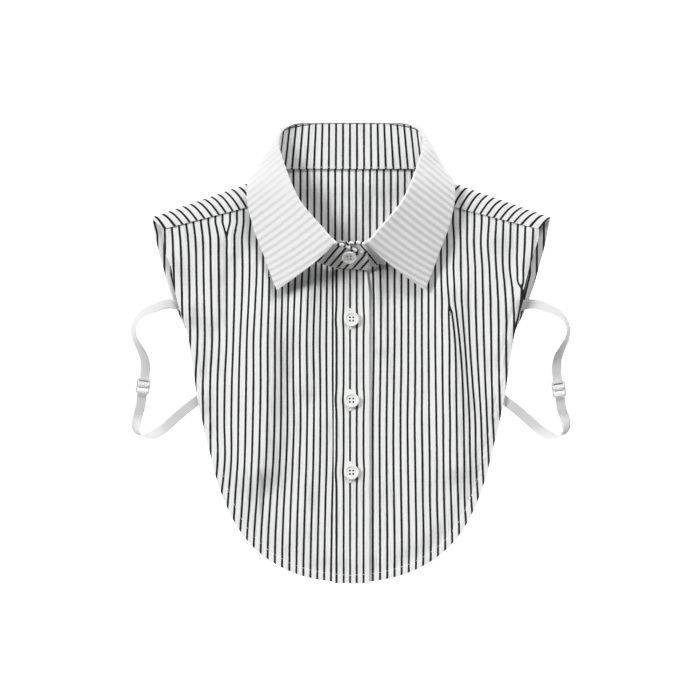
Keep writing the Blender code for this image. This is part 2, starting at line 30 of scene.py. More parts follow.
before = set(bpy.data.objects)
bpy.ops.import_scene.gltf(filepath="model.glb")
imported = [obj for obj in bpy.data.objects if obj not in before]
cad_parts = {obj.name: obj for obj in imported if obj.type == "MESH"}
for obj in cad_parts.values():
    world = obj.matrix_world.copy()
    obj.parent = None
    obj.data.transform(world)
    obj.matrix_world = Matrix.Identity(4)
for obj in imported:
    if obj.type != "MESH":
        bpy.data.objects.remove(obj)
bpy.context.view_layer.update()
print("frame loaded:", len(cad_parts), "nodes")


# numbers


def smoothStep(value):  # 0 to 1 with level ends
    value = np.clip(value, 0, 1)
    return value * value * (3 - 2 * value)


def bell(distance, width):  # 1 at the middle, fading as a Gaussian of that width
    return np.exp(-((distance / width) ** 2))


def unit(vectors):  # the same directions, of length one
    return vectors / np.linalg.norm(vectors, axis=-1, keepdims=True)


def runOf(points):  # distance run down a chain of points, or down each column of a grid
    run = np.zeros(points.shape[:-1])
    run[1:] = np.linalg.norm(np.diff(points, axis=0), axis=-1).cumsum(axis=0)
    return run


def knotsOf(rows):  # the run along the rows, from 0 to 1
    run = runOf(np.asarray(rows, float))
    return run / run[-1]


def curveThrough(rows, at, knots=None):  # cubic through the rows, with a slope at each row from both neighbours
    rows = np.asarray(rows, float)
    at = np.asarray(at, float)
    knots = knotsOf(rows) if knots is None else np.asarray(knots, float)
    gap = np.diff(knots)
    slope = np.diff(rows, axis=0) / gap[:, None]
    inner = slope[:-1] * gap[1:, None] + slope[1:] * gap[:-1, None]
    inner = inner / (gap[:-1] + gap[1:])[:, None]
    tangent = np.vstack((slope[:1], inner, slope[-1:]))
    span = np.clip(np.searchsorted(knots, at, side="right") - 1, 0, len(gap) - 1)
    size = gap[span]
    t = ((at - knots[span]) / size)[:, None]
    start, end = rows[span], rows[span + 1]
    pull, push = tangent[span] * size[:, None], tangent[span + 1] * size[:, None]
    first = start * (1 + 2 * t) * (1 - t) ** 2 + pull * t * (1 - t) ** 2
    return first + end * t**2 * (3 - 2 * t) - push * t**2 * (1 - t)


def resample(line, count):  # the same chain of points, count of them at even steps
    at = np.linspace(0, 1, count)
    return np.column_stack([np.interp(at, knotsOf(line), column) for column in np.asarray(line, float).T])


def outlineY(rows, x):  # height of an outline over x, the same on both sides
    line = curveThrough(rows, np.linspace(0, 1, 240))
    order = np.argsort(line[:, 0])
    return np.interp(np.abs(x), line[order, 0], line[order, 1])


def nearLine(x, y, line):  # shortest way in plan from each point to a chain of points
    best = np.full(np.shape(x), 1e9)
    for (ax, ay), (bx, by) in zip(line[:-1], line[1:]):
        dx, dy = bx - ax, by - ay
        t = np.clip(((x - ax) * dx + (y - ay) * dy) / (dx * dx + dy * dy), 0, 1)
        best = np.minimum(best, np.hypot(x - ax - t * dx, y - ay - t * dy))
    return best


def ringed(count, rim=0.004):  # even steps from 0 to 1 with a close ring just inside each end
    return np.concatenate(([0, rim], np.linspace(0, 1, count)[1:-1], [1 - rim, 1]))


def circle(count):  # even turns round a circle
    return np.linspace(0, 2 * math.pi, count, endpoint=False)


def narrowed(count, power):  # stripes at whole numbers drawn wider, or with a power under 1 narrower
    off = count - np.round(count)
    return np.round(count) + 0.5 * np.sign(off) * np.abs(2 * off) ** power


# materials: sRGB hex to linear, and one function that adds a node


def hexColor(code):  # each channel by the sRGB curve, straight near black and a power above
    parts = [int(code[i : i + 2], 16) / 255 for i in (1, 3, 5)]
    return (*[v / 12.92 if v <= 0.04045 else ((v + 0.055) / 1.055) ** 2.4 for v in parts], 1)


def addNode(tree, kind, sockets, **settings):  # a node among the values is linked by its first output
    node = tree.nodes.new("ShaderNode" + kind)
    for key, value in settings.items():
        setattr(node, key, value)
    for key, value in sockets.items():
        if isinstance(value, bpy.types.Node):
            value = next(output for output in value.outputs if output.enabled)
        if isinstance(value, bpy.types.NodeSocket):
            tree.links.new(value, node.inputs[key])
        else:
            node.inputs[key].default_value = value
    return node


def intoShader(tree, node, key):  # the node's output drives that socket of the surface
    output = next(output for output in node.outputs if output.enabled)
    tree.links.new(output, tree.nodes["Principled BSDF"].inputs[key])


def newMaterial(name, color, values):  # values: constants on the shader's own sockets
    finish = bpy.data.materials.new(name)
    finish.use_nodes = True
    finish.diffuse_color = hexColor(color)
    shader = finish.node_tree.nodes["Principled BSDF"]
    for key, value in values.items():
        shader.inputs[key].default_value = value
    return finish, finish.node_tree


cottonSheen = {"Sheen Weight": 0.12, "Sheen Roughness": 0.5, "Specular IOR Level": 0.25}
poplin = {
    "white": "#efefef",
    "greyYarn": "#d8d8d8",
    "black": "#2b2b2c",
    "blackWorn": "#343435",
    "stripeHalf": 0.146,  # half of the black stripe, in repeats: 0.9 mm
    "stripeSoft": 0.05,
    "wander": {"Scale": 1.7, "Detail": 4, "Roughness": 0.6},
    "sway": 0.035,  # how far the stripes' edges wander, in repeats
    "streaks": (6, 0.22, 1),  # long grey streaks down the warp
    "slubs": (0.12, 5, 1),  # and thick places along the weft
    "slubShare": 0.12,
    "greyFrom": 0.42,
    "greyTo": 0.72,
    "weave": 0.08,
    "crumple": 0.3,
    "threads": 11,  # threads drawn in a repeat; real poplin has about 24, too fine to show
}
shadowStripe = {
    "white": "#f3f3f3",
    "grey": "#dadada",
    "half": 0.25,
    "soft": 0.2,
    "wander": {"Scale": 1.3, "Detail": 5, "Roughness": 0.65},
    "sway": 0.17,
    "weave": 0.3,
    "crumple": 0.3,
}


def crossedThreads(tree, split, across, along):  # waves of that many threads across the map, and the same crossed
    waves = []
    for axis, threads in (("X", across), ("Y", along)):
        turn = addNode(tree, "Math", {0: split.outputs[axis], 1: threads * 2 * math.pi}, operation="MULTIPLY")
        waves.append(addNode(tree, "Math", {0: turn}, operation="SINE"))
    return waves[0], addNode(tree, "Math", dict(enumerate(waves)), operation="MULTIPLY")


def wovenBump(tree, uv, split, spec):  # plain weave: over and under threads, plus slack
    weave = crossedThreads(tree, split, poplin["threads"], poplin["threads"])[1]
    slack = addNode(tree, "TexNoise", {"Vector": uv, "Scale": 0.9, "Detail": 3})
    fine = addNode(tree, "Bump", {"Strength": spec["weave"], "Distance": 0.0001, "Height": weave})
    soft = {"Strength": spec["crumple"], "Distance": 0.0008, "Height": slack, "Normal": fine}
    intoShader(tree, addNode(tree, "Bump", soft), "Normal")
    return weave


def clothMap(tree, spec):  # the cloth's map, which counts stripes across, and that count swayed as yarns wander
    uv = addNode(tree, "UVMap", {}, uv_map="cloth")
    split = addNode(tree, "SeparateXYZ", {0: uv})
    wander = addNode(tree, "TexNoise", {"Vector": uv, **spec["wander"]})
    sway = addNode(tree, "MapRange", {"Value": wander, "To Min": -spec["sway"], "To Max": spec["sway"]})
    return uv, split, addNode(tree, "Math", {0: split.outputs["X"], 1: sway}, operation="ADD")


def stripeMask(tree, u, half, soft):  # 1 on the stripe, 0 between, by the distance to the nearest whole number
    away = addNode(tree, "Math", {0: u, 1: 0.5}, operation="PINGPONG")
    ramp = {"Value": away, "From Min": half - soft, "From Max": half + soft, "To Min": 1, "To Max": 0}
    return addNode(tree, "MapRange", ramp, interpolation_type="SMOOTHSTEP")


def stripedPoplin():  # yarn-dyed cotton poplin: matt, fine weave, near-black stripes with soft woven edges
    finish, tree = newMaterial("stripedCottonPoplin", poplin["white"], {"Roughness": 0.86, **cottonSheen})
    uv, split, u = clothMap(tree, poplin)
    mask = stripeMask(tree, u, poplin["stripeHalf"], poplin["stripeSoft"])
    yarn = {}
    for name, detail in (("streaks", 2), ("slubs", 1)):
        stretched = addNode(tree, "Mapping", {"Vector": uv, "Scale": poplin[name]})
        yarn[name] = addNode(tree, "TexNoise", {"Vector": stretched, "Scale": 1, "Detail": detail})
    yarns = {0: yarn["slubs"], 1: poplin["slubShare"], 2: yarn["streaks"]}
    yarns = addNode(tree, "Math", yarns, operation="MULTIPLY_ADD")
    grey = {"Value": yarns, "From Min": poplin["greyFrom"], "From Max": poplin["greyTo"]}
    tone = addNode(tree, "MapRange", grey)
    white = {"Factor": tone, "A": hexColor(poplin["white"]), "B": hexColor(poplin["greyYarn"])}
    weave = wovenBump(tree, uv, split, poplin)
    worn = addNode(tree, "MapRange", {"Value": weave, "From Min": -1})
    black = {"Factor": worn, "A": hexColor(poplin["black"]), "B": hexColor(poplin["blackWorn"])}
    white, black = (addNode(tree, "Mix", colors, data_type="RGBA") for colors in (white, black))
    cloth = addNode(tree, "Mix", {"Factor": mask, "A": white, "B": black}, data_type="RGBA")
    intoShader(tree, cloth, "Base Color")
    return finish


def shadowPoplin():  # white poplin with a satin shadow stripe: pale grey bands with no hard edge
    finish, tree = newMaterial("shadowStripePoplin", shadowStripe["white"], {"Roughness": 0.82, **cottonSheen})
    uv, split, u = clothMap(tree, shadowStripe)
    mask = stripeMask(tree, u, shadowStripe["half"], shadowStripe["soft"])
    bands = {"Factor": mask, "A": hexColor(shadowStripe["white"]), "B": hexColor(shadowStripe["grey"])}
    cloth = addNode(tree, "Mix", bands, data_type="RGBA")
    intoShader(tree, cloth, "Base Color")
    wovenBump(tree, uv, split, shadowStripe)
    return finish


def polishedButton():  # cast polyester shirt button, tumbled: smooth gloss over a faint cloud
    finish, tree = newMaterial("polishedPolyesterButton", "#f1f1ef", {"Roughness": 0.24, "IOR": 1.54})
    where = addNode(tree, "TexCoord", {}).outputs["Object"]
    cloud = addNode(tree, "TexNoise", {"Vector": where, "Scale": 260, "Detail": 2})
    tone = {"Factor": cloud, "A": hexColor("#f4f4f2"), "B": hexColor("#e9e9e6")}
    intoShader(tree, addNode(tree, "Mix", tone, data_type="RGBA"), "Base Color")
    return finish


def wovenElastic():  # woven elastic: matt lengthwise ribs 1.2 mm apart and fine cross threads 0.9 mm apart
    finish, tree = newMaterial("wovenElastic", "#d2d2d2", {"Roughness": 0.9, "Specular IOR Level": 0.25})
    split = addNode(tree, "SeparateXYZ", {0: addNode(tree, "UVMap", {}, uv_map="cloth")})
    ribs, height = crossedThreads(tree, split, 1 / 1.2, 1 / 0.9)
    tone = addNode(tree, "MapRange", {"Value": ribs, "From Min": -1})
    shade = {"Factor": tone, "A": hexColor("#cccccc"), "B": hexColor("#d8d8d8")}
    intoShader(tree, addNode(tree, "Mix", shade, data_type="RGBA"), "Base Color")
    bump = addNode(tree, "Bump", {"Strength": 0.5, "Distance": 0.0002, "Height": height})
    intoShader(tree, bump, "Normal")
    return finish


def grained(name, color, values, grain, detail, strength):  # one colour over a fine grain in the surface
    finish, tree = newMaterial(name, color, {"Base Color": hexColor(color), **values})
    where = addNode(tree, "TexCoord", {}).outputs["Object"]
    noise = addNode(tree, "TexNoise", {"Vector": where, "Scale": grain, "Detail": detail})
    bump = addNode(tree, "Bump", {"Strength": strength, "Distance": 0.0001, "Height": noise})
    intoShader(tree, bump, "Normal")
    return finish


striped = stripedPoplin()
paleStriped = shadowPoplin()
buttonPlastic = polishedButton()
elasticWeave = wovenElastic()
# injection-moulded nylon: satin, with a very slight orange peel
nylon = grained("mouldedNylon", "#cfcfce", {"Roughness": 0.42, "IOR": 1.53}, 900, 2, 0.1)
# spun polyester sewing thread: soft sheen, fine twist
threadSheen = {"Roughness": 0.7, "Sheen Weight": 0.2}
whiteThread = grained("whiteSewingThread", "#f7f7f7", threadSheen, 2500, 1, 0.3)
# the dark thread is painted shade: it darkens the band buttons' holes and draws the shadow line inside the collar's top
# corners
paintedShadeThread = grained("darkThreadForPaintedShade", "#3c3c3e", threadSheen, 2500, 1, 0.3)
print("materials made")


# mesh makers


def meshFrom(points, faces, corners=None):  # a mesh in metres from millimetre points, with its cloth map
    mesh = bpy.data.meshes.new("mesh")
    mesh.from_pydata((points * mm).tolist(), [], faces if isinstance(faces, list) else faces.tolist())
    if corners is not None:
        mesh.uv_layers.new(name="cloth").data.foreach_set("uv", corners.ravel())
    return mesh


def mended(mesh, merge=False, fill=False):  # doubles merged, open ends closed, and all faces turned outwards
    bm = bmesh.new()
    bm.from_mesh(mesh)
    if merge:
        bmesh.ops.remove_doubles(bm, verts=bm.verts, dist=0.01 * mm)
    if fill:
        bmesh.ops.holes_fill(bm, edges=bm.edges, sides=0)
    bmesh.ops.recalc_face_normals(bm, faces=bm.faces)
    bm.to_mesh(mesh)
    bm.free()
    return mesh


def gridFaces(rows, columns, closed=False):  # four-cornered faces of a grid of points; closed joins each row to a ring
    at = np.arange(rows * columns).reshape(rows, columns)
    if closed:
        at = np.column_stack((at, at[:, 0]))
    return np.stack((at[:-1, :-1], at[:-1, 1:], at[1:, 1:], at[1:, :-1]), axis=-1).reshape(-1, 4)


def gathered(parts):  # parts: points, faces and values of each point, joined into one set
    first = np.cumsum([0] + [len(part[0]) for part in parts])
    faces = np.concatenate([part[1] + start for part, start in zip(parts, first)])
    points, *values = (np.concatenate([part[k] for part in parts]) for k in (0, *range(2, len(parts[0]))))
    return points, faces, *values


def swept(path, side, upright, sx, sy):  # rings of points carried along a path, and their faces
    tube = path[:, None] + side[:, None] * sx[..., None] + upright[:, None] * sy[..., None]
    return tube.reshape(-1, 3), gridFaces(*tube.shape[:2], closed=True)


def beside(path):  # directions level across a path, and square to it and to those
    ahead = unit(np.gradient(path, axis=0))
    side = unit(np.cross(ahead, (0, 0, 1)))
    return side, np.cross(side, ahead)


def tubeAlong(path, radius, count):  # a round tube whose radius changes along a path, and the turn of each point
    side, upright = beside(path)
    turn = circle(count)
    points, faces = swept(path, side, upright, radius[:, None] * np.cos(turn), radius[:, None] * np.sin(turn))
    return points, faces, np.tile(turn, len(path))


def placed(name, data):  # an object of that data, in the scene
    thing = bpy.data.objects.new(name, data)
    bpy.context.scene.collection.objects.link(thing)
    return thing


def addPiece(name, mesh, finish, nodes):  # a smooth piece on the root body, in place of the nodes
    mesh.name = name
    mesh.materials.append(finish)
    mesh.shade_smooth()
    piece = placed(name, mesh)
    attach(piece, "root")
    if nodes:
        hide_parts(*nodes)
    return piece


def clothPiece(node, patches, thickness, finish=striped):
    # patches: grids of points in the middle of the cloth, with their count of stripes and place along them
    parts = [(grid.reshape(-1, 3), gridFaces(*grid.shape[:2]), u.ravel(), v.ravel()) for grid, u, v in patches]
    points, faces, u, v = gathered(parts)
    u, v = u[faces], v[faces]
    u = u - np.round(u - u[:, :1])  # a whole repeat tucked away in a fold leaves no smear
    mesh = mended(meshFrom(points, faces, np.stack((u, v), axis=-1)), merge=True)
    piece = addPiece(node + "_cloth", mesh, finish, [node])
    wall = piece.modifiers.new("wall", "SOLIDIFY")
    wall.thickness = thickness * mm
    wall.offset = 0
    return piece


# cloth levels, the same as the solids'

layers = {
    "table": 0.5,  # middle of the cloth that lies on the table
    "step": 1.4,  # one layer up
    "ramp": 16,
    "rampStart": 5,
    "fallTuckX": 92,
    "sewnLift": 1.5,
    "sewnReach": 11,
    "slack": 0.12,  # small uneven waves
}
shoulder = {
    "tip": (169.4, 114.2),
    "neck": (64.5, 151),
    "foldNeck": 8,
    "foldTip": 3,
    "flat": 4,  # the level stays high that far from the fold, then falls over the spread
    "spread": 44,
    "seamTip": (158.4, 104.4),
    "seamNeck": (68.5, 127.6),
    "lap": 5,
    "step": 0.95,
    "armholeLap": (3.2, 2.8),
}
frontOutline = (
    (0, -196.3), (22, -194.3), (50.2, -187), (68, -177.8), (84.7, -164.1), (98.6, -145.4),
    (106.8, -128.5), (113.9, -108.8), (121.2, -79.9), (126.6, -57), (130.9, -35.7), (134.7, -8.5),
    (139.4, 17.9), (146.2, 37.4), (151.3, 57), (155.6, 75), (158.2, 92), (158.8, 104.2),
)
# the armhole edges as they lie, above the straps
armholeEdge = {
    -1: (
        (139.4, 17.9), (145.6, 37.4), (147.6, 44.2), (149.4, 51), (151.1, 61.2), (152.3, 70.5), (154.2, 76.5),
        (157.2, 82.4), (158.4, 88), (159.2, 95.2), (160.2, 104.2),
    ),
    1: (
        (139.4, 17.9), (144, 34), (146.2, 44.2), (148.1, 56.1), (149.8, 62.9), (151.5, 69.7), (152.8, 76.5),
        (154.5, 82.5), (156.6, 88.4), (158.7, 95.2), (160.6, 104.2),
    ),
}
backOutline = (
    (0, -168), (30, -164), (58, -150), (80, -125), (96, -92), (107, -62),
    (115.5, -36), (127, -6), (139.5, 18), (149, 38.5), (154.5, 54), (159.5, 71), (164.6, 90.1),
    (168.9, 111.5),
)
hemShare = 0.42  # share of an outline that is its hem; the rest is its side edge
neckEdge = ((15, 74.6), (31, 81.5), (46, 95), (56, 107), (63.5, 121.5), (66, 132.6))
backNeckEdge = ((0, 158.2), (44, 158.2), (56, 157))
# where the straps are sewn in
sewnPlaces = (((138, 38), (152, 41)), ((122, -35), (131, -41)))

# collar stand from the centre of the back to the throat: seam on the neck, then roll line
standSections = (
    (0, 155.2, 3.3, 0, 193.5, 3.6), (20.5, 155.2, 3.3, 20, 193.5, 3.6),
    (38.5, 155.3, 3.3, 36, 193.2, 3.8), (48, 155.2, 3.6, 44.6, 193, 4.8),
    (55.5, 154.8, 4.6, 51.4, 191.7, 6.2), (62, 153.2, 7, 57.4, 188.8, 8.6),
    (66.5, 149.2, 10.8, 61.2, 183, 12.2), (69, 143, 12.8, 61.9, 174.2, 16.4),
    (69.8, 135, 11.8, 59, 163.2, 19.4), (69.4, 127.2, 10.4, 55.7, 153, 21.2),
    (67, 119, 8.6, 51.6, 142.3, 23.2), (60, 104.5, 5.9, 43.8, 126.2, 24.6),
    (49, 92, 5, 35.8, 115.9, 25.6), (34, 79.8, 4.8, 25.3, 104.3, 26.4),
    (16, 72.4, 4.9, 13.2, 91.8, 26.9),
)
underEnd = (
    (6.5, 71.9, 4.5, 6.8, 91.6, 21.4), (0, 72.4, 4.5, 0, 92, 19.6), (-10.5, 73.9, 4.6, -10, 94.2, 19.4),
)
tabEnd = (
    (0, 70.7, 6.4, 0, 87.4, 20), (5.5, 70.1, 6.5, 5.6, 84.8, 18.6), (10, 69.7, 6.6, 10.6, 83.4, 18),
    (13.4, 69.9, 6.7, 14, 81.4, 16.8), (15.3, 71, 7.2, 15.4, 76.4, 12.4),
)
# collar fall: the two handles and the free edge of the bend of each section
fallSections = (
    (0, 184, 0.5, 0, 165, 0.5, 0, 149, 0.5),
    (20, 184, 0.5, 20.5, 165, 0.5, 20.5, 148.8, 0.5),
    (37.5, 183.5, 0.5, 38.5, 165, 0.5, 38.5, 148, 0.5),
    (47.5, 183, 0.6, 48.5, 165, 0.5, 48.5, 147.2, 0.5),
    (56.5, 183, 0.8, 57, 165, 0.5, 57, 146.2, 0.5),
    (65, 180.5, 2, 66, 163, 0.5, 65.5, 145.3, 0.5),
    (70.6, 175.6, 7, 74.8, 159, 0.5, 74, 144.6, 0.5),
    (74.2, 169, 18, 81.4, 152.6, 0.6, 81.5, 144, 0.5),
    (69.5, 158.4, 18, 84.4, 151, 12.5, 86, 145.4, 7),
    (66.2, 149.2, 20, 81.6, 143.6, 16.4, 87.4, 139.8, 13),
    (62.5, 139, 20.8, 78, 134, 16.6, 88, 130.4, 13.6),
    (54, 120.2, 21.2, 70.5, 111.2, 15, 82.6, 104.9, 10.6),
    (45.5, 108.2, 21.6, 62.5, 95.2, 14.4, 75.3, 85.8, 8.8),
    (36, 95.4, 22.2, 55, 79.6, 13.8, 68.8, 67.8, 7.6),
    (24.8, 78.2, 22.2, 45.2, 64.2, 12.6, 62.8, 52.4, 6.8),
)


def shoulderAxis():  # the fold's start at the neck, its way to the tip, and the direction square to it
    neck, tip = np.array(shoulder["neck"]), np.array(shoulder["tip"])
    along = tip - neck
    return neck, along, np.array((-along[1], along[0])) / np.hypot(*along)


def foldHeight(share):  # height of the shoulder fold, changing evenly from neck to tip
    return shoulder["foldNeck"] + (shoulder["foldTip"] - shoulder["foldNeck"]) * np.clip(share, 0, 1)


def backLevel(x, y):  # middle of the back bib: on the table, and up over the fall's edge
    edge = curveThrough([row[6:8] for row in fallSections[:8]], np.linspace(0, 1, 60))
    edgeY = np.interp(np.abs(x), edge[:, 0], edge[:, 1])
    over = smoothStep((y - edgeY + layers["ramp"] + layers["rampStart"]) / layers["ramp"])
    near = smoothStep((layers["fallTuckX"] + layers["ramp"] - np.abs(x)) / layers["ramp"])
    return layers["table"] + layers["step"] * over * near


frontEdge = {side: frontOutline[:12] + armholeEdge[side] for side in (-1, 1)}
frontRelief = {
    # ridge from one point to another: x0, y0, x1, y1, width on its left, width on its right, height
    "ridges": (
        (-69, 24, -77, -95, 26, 17, 8),
        (-70, 80, -70, 62, 16, 12, 2),
        (-56, 58, -57, 24, 7, 6, -1.7),
        (-38, 50, -41, -30, 7, 9, 2.3),
        (-113, 92, -117, 30, 9, 8, 2),
        (-102, 106, -100, 84, 5, 4.5, 1.5),
        (-150, 80, -140, 30, 9, 9, 2),
        (-134, 40, -128, -60, 8, 10, 1.6),
        (-25.6, 64, -20, 46, 1.3, 1.5, 0.9),
        (-30, -60, -44, -150, 9, 12, 1.3),
        (84, 52, 88, -95, 14, 13, 4.4),
        (122, 92, 130, 10, 16, 12, 2.6),
        (152, 100, 143, 48, 7, 12, 3.4),
        (20, 64, 26, 5, 5, 7.5, 2.4),
        (60, -60, 56, -150, 12, 14, 1),
    ),
    # tucks under the two forks of the stripes
    "tucks": ((-105.6, 96, -105.5, 20, 2.4, 2.4, -0.8), (83, 60, 82.5, 105, 2, 2, -0.35)),
    "hemWidth": 6.6,
    "hemLift": 0.35,
    "hemStep": (0.8, 1.2),  # how far inside the stitching it starts, and over what width it rises
    "hemGroove": 0.3,
    "grooveWidth": 0.8,
    "pucker": 0.16,
    "puckerLength": 1.35,
    "puckerReach": 4,
}


def ridgeRelief(x, y, ridges):  # sum of Gaussians of the distance to each ridge's line, with a width for each side
    total = np.zeros(np.shape(x))
    for x0, y0, x1, y1, leftWidth, rightWidth, height in ridges:
        near = nearLine(x, y, ((x0, y0), (x1, y1)))
        crest = x0 + (x1 - x0) * np.clip((y - y0) / (y1 - y0), 0, 1)
        total = total + height * bell(near, np.where(x < crest, leftWidth, rightWidth))
    return total


def frontLevel(x, y):  # middle of the upper cloth: the fronts, and the start of the yoke
    outline = curveThrough(backOutline, np.linspace(0, 1, 60))
    reach = nearLine(np.abs(x), y, outline)
    inside = np.where((y > outlineY(backOutline, x)) & (np.abs(x) <= outline[-1, 0]), reach, -reach)
    onBack = smoothStep((inside + layers["ramp"] + layers["rampStart"]) / layers["ramp"])
    level = layers["table"] + layers["step"] * onBack + ridgeRelief(x, y, frontRelief["ridges"] + frontRelief["tucks"])
    for sewn in sewnPlaces:
        level = level + layers["sewnLift"] * bell(nearLine(np.abs(x), y, sewn), layers["sewnReach"])
    neck, along, away = shoulderAxis()
    dx, dy = np.abs(x) - neck[0], y - neck[1]
    share = (dx * along[0] + dy * along[1]) / (along @ along)
    below = -dx * away[0] - dy * away[1]
    top = backLevel(x, y) + foldHeight(share)
    fade = bell(np.maximum(below - shoulder["flat"], 0), shoulder["spread"])
    slack = np.sin(x / 4.3 + 1.4 * np.sin(y / 19)) * np.sin(y / 14 + np.sin(x / 31))  # uneven small waves
    return level + layers["slack"] * slack + (top - layers["table"] - layers["step"]) * fade


def hemRelief(x, y):  # the turned hem: one cloth thicker inside its stitching, puckered along it
    away = np.full(np.shape(x), 1e9)
    for side in (-1, 1):
        line = curveThrough(frontEdge[side], np.linspace(0, 1, 90))
        away = np.minimum(away, nearLine(x, y, line * (side, 1)))
    fromStitch = away - frontRelief["hemWidth"]
    start, over = frontRelief["hemStep"]
    turned = frontRelief["hemLift"] * smoothStep((start - fromStitch) / over)
    groove = frontRelief["hemGroove"] * bell(fromStitch, frontRelief["grooveWidth"])
    run = np.hypot(x, y + 60) * np.arctan2(x, y + 60)  # along the curve of the hem, near enough
    pucker = np.sin(run / frontRelief["puckerLength"] + np.sin(run / 7)) * bell(fromStitch, frontRelief["puckerReach"])
    return turned - groove + frontRelief["pucker"] * pucker


# the stripes' paths on the fronts: each row is a height y with the x of the key stripes there

rightFrontStripes = {
    "counts": (-25, -24, -23, -22, -19, -17, -16, -14, -12, -9, -6, -3, 0),
    "rows": (
        (-190, -162.5, -156.3, -150.2, -144, -126, -113.5, -113.5, -101, -89, -71, -52.5, -34.5, -17),
        (-160, -162, -155.8, -149.7, -143.5, -125.5, -113, -113, -100.5, -88.5, -70.5, -52, -34, -16.5),
        (-126, -159, -152.8, -146.7, -140.5, -122.5, -110.5, -110.5, -98.5, -86, -68.5, -51, -33, -16),
        (-92, -155.5, -149.5, -143.5, -137.5, -119.5, -107, -107, -96, -84, -66, -49.5, -32, -15),
        (-58, -155.5, -149.5, -143.5, -137.5, -119.5, -107.5, -107.5, -95.5, -83, -65, -48.5, -31.5, -15),
        (-24, -156.5, -150.3, -144.2, -138, -119.5, -107, -107, -95, -82.5, -64.5, -49, -31.5, -15.5),
        (10, -155, -148.8, -142.7, -136.5, -118, -105.5, -105.5, -94, -82.5, -64.5, -49, -32, -15.5),
        (44, -156.3, -149.8, -143.3, -137, -118.5, -105.5, -105.5, -92.5, -81, -64, -48, -31, -15.5),
        (70, -157.2, -150.3, -144, -137.5, -119, -105.5, -105.5, -92, -80, -64, -47, -30, -15.5),
        (84, -157.9, -150.9, -144.3, -137.7, -119.2, -105.5, -105.5, -92.2, -80, -63.6, -46.5, -29.4, -15.5),
        (97, -157.9, -151.4, -145, -138.4, -119.5, -105.5, -105.5, -92.5, -80, -63, -46, -29, -15.5),
        (110, -158.2, -152.4, -146.3, -140, -121, -109, -102.5, -91, -79.5, -62, -44, -28, -13.5),
    ),
}
leftFrontStripes = {
    "counts": (1, 4, 7, 10, 12, 13, 14, 16, 19, 22, 23, 24, 25),
    "rows": (
        (-190, 18.5, 37, 55, 73.5, 86, 92, 98, 110.5, 129, 147, 153.2, 153.2, 153.2),
        (-160, 18.5, 37, 55.5, 74, 86, 92, 98.5, 110.5, 129, 147, 153.2, 153.2, 153.2),
        (-126, 18.5, 36.5, 55, 73, 85, 91, 96.5, 108, 125, 143.5, 149.8, 149.8, 149.8),
        (-92, 18.5, 36, 54.5, 73, 84, 90, 96, 106, 122.5, 141, 147.3, 147.3, 147.3),
        (-58, 18.5, 36, 54, 72.5, 84, 89.5, 95.5, 105.5, 120.5, 139.5, 145.7, 145.7, 145.7),
        (-24, 19, 36.5, 54.5, 72, 83.5, 89, 94.5, 103, 119.5, 138.5, 144.7, 144.7, 144.7),
        (10, 19.5, 37, 54.5, 71.5, 83.5, 88.1, 92, 100.7, 119, 138, 138.6, 138.6, 138.6),
        (27, 19.5, 37, 54.5, 71.5, 83, 86.3, 90, 100, 118.7, 138.4, 141.1, 141.1, 141.1),
        (34, 19.5, 37, 54.5, 71.5, 82.9, 85.3, 89.2, 99.8, 118.5, 138.2, 142.7, 142.7, 142.7),
        (40, 19.5, 37, 54.5, 71.5, 83.1, 83.3, 88.4, 99.6, 118.5, 137.9, 143.8, 143.8, 144.1),
        (44, 19.5, 37, 54.5, 71.5, 83, 83, 88, 99.5, 118.5, 137.6, 144.2, 144.2, 145.2),
        (50, 19.3, 37, 54.5, 71.5, 82.5, 82.5, 87.7, 99.5, 118.2, 137.1, 144.5, 144.5, 146.5),
        (54, 19.1, 37, 54.5, 71.5, 82.2, 82.2, 87.6, 99.5, 118.1, 136.8, 144.7, 144.7, 147.4),
        (57, 19, 37, 54.5, 71.5, 82, 82, 87.5, 99.5, 118, 136.5, 142.7, 145.5, 148.2),
        (70, 18.5, 37, 54.5, 71.5, 81.5, 81.5, 87, 99.5, 117.5, 134.7, 141.2, 146.2, 151.6),
        (95, 16, 35, 52.5, 71, 81.5, 81.5, 87.5, 98.5, 116, 135, 141.2, 147.5, 154),
        (110, 15.5, 34, 52.5, 71, 81, 81, 86.5, 98.5, 117, 135.5, 141.6, 148, 154.7),
    ),
}

crowding = {
    # stripes drawn together in a tuck keep their own width
    "leastGap": 0.02,
    "filled": (0.05, 0.86),  # least and most of a repeat that a stripe is taken to fill
    "hidden": 0.8,  # from here the cloth is inside the tuck
    "sharpest": 8,
}


def stripeCount(across, along, stripes):  # stripe number: the key stripes passed, plus the share of the way to the next
    counts, rows = stripes["counts"], np.array(stripes["rows"], float)
    at = np.clip(along.ravel(), rows[0, 0], rows[-1, 0])
    keys = np.maximum.accumulate(curveThrough(rows[:, 1:], at, rows[:, 0]), axis=1)
    place = across.ravel()
    u = counts[0] + (np.minimum(place - keys[:, 0], 0) + np.maximum(place - keys[:, -1], 0)) / pitch
    for j, steps in enumerate(np.diff(counts)):
        gap = np.maximum(keys[:, j + 1] - keys[:, j], crowding["leastGap"])
        passed = steps * np.clip((place - keys[:, j]) / gap, 0, 1)
        filled = np.clip(2 * poplin["stripeHalf"] * pitch * steps / gap, *crowding["filled"])
        power = np.clip(math.log(2 * poplin["stripeHalf"]) / np.log(filled), 1, crowding["sharpest"])
        u = u + np.where(filled < crowding["hidden"], narrowed(passed, power), np.round(passed))
    return u.reshape(across.shape)


# the bibs

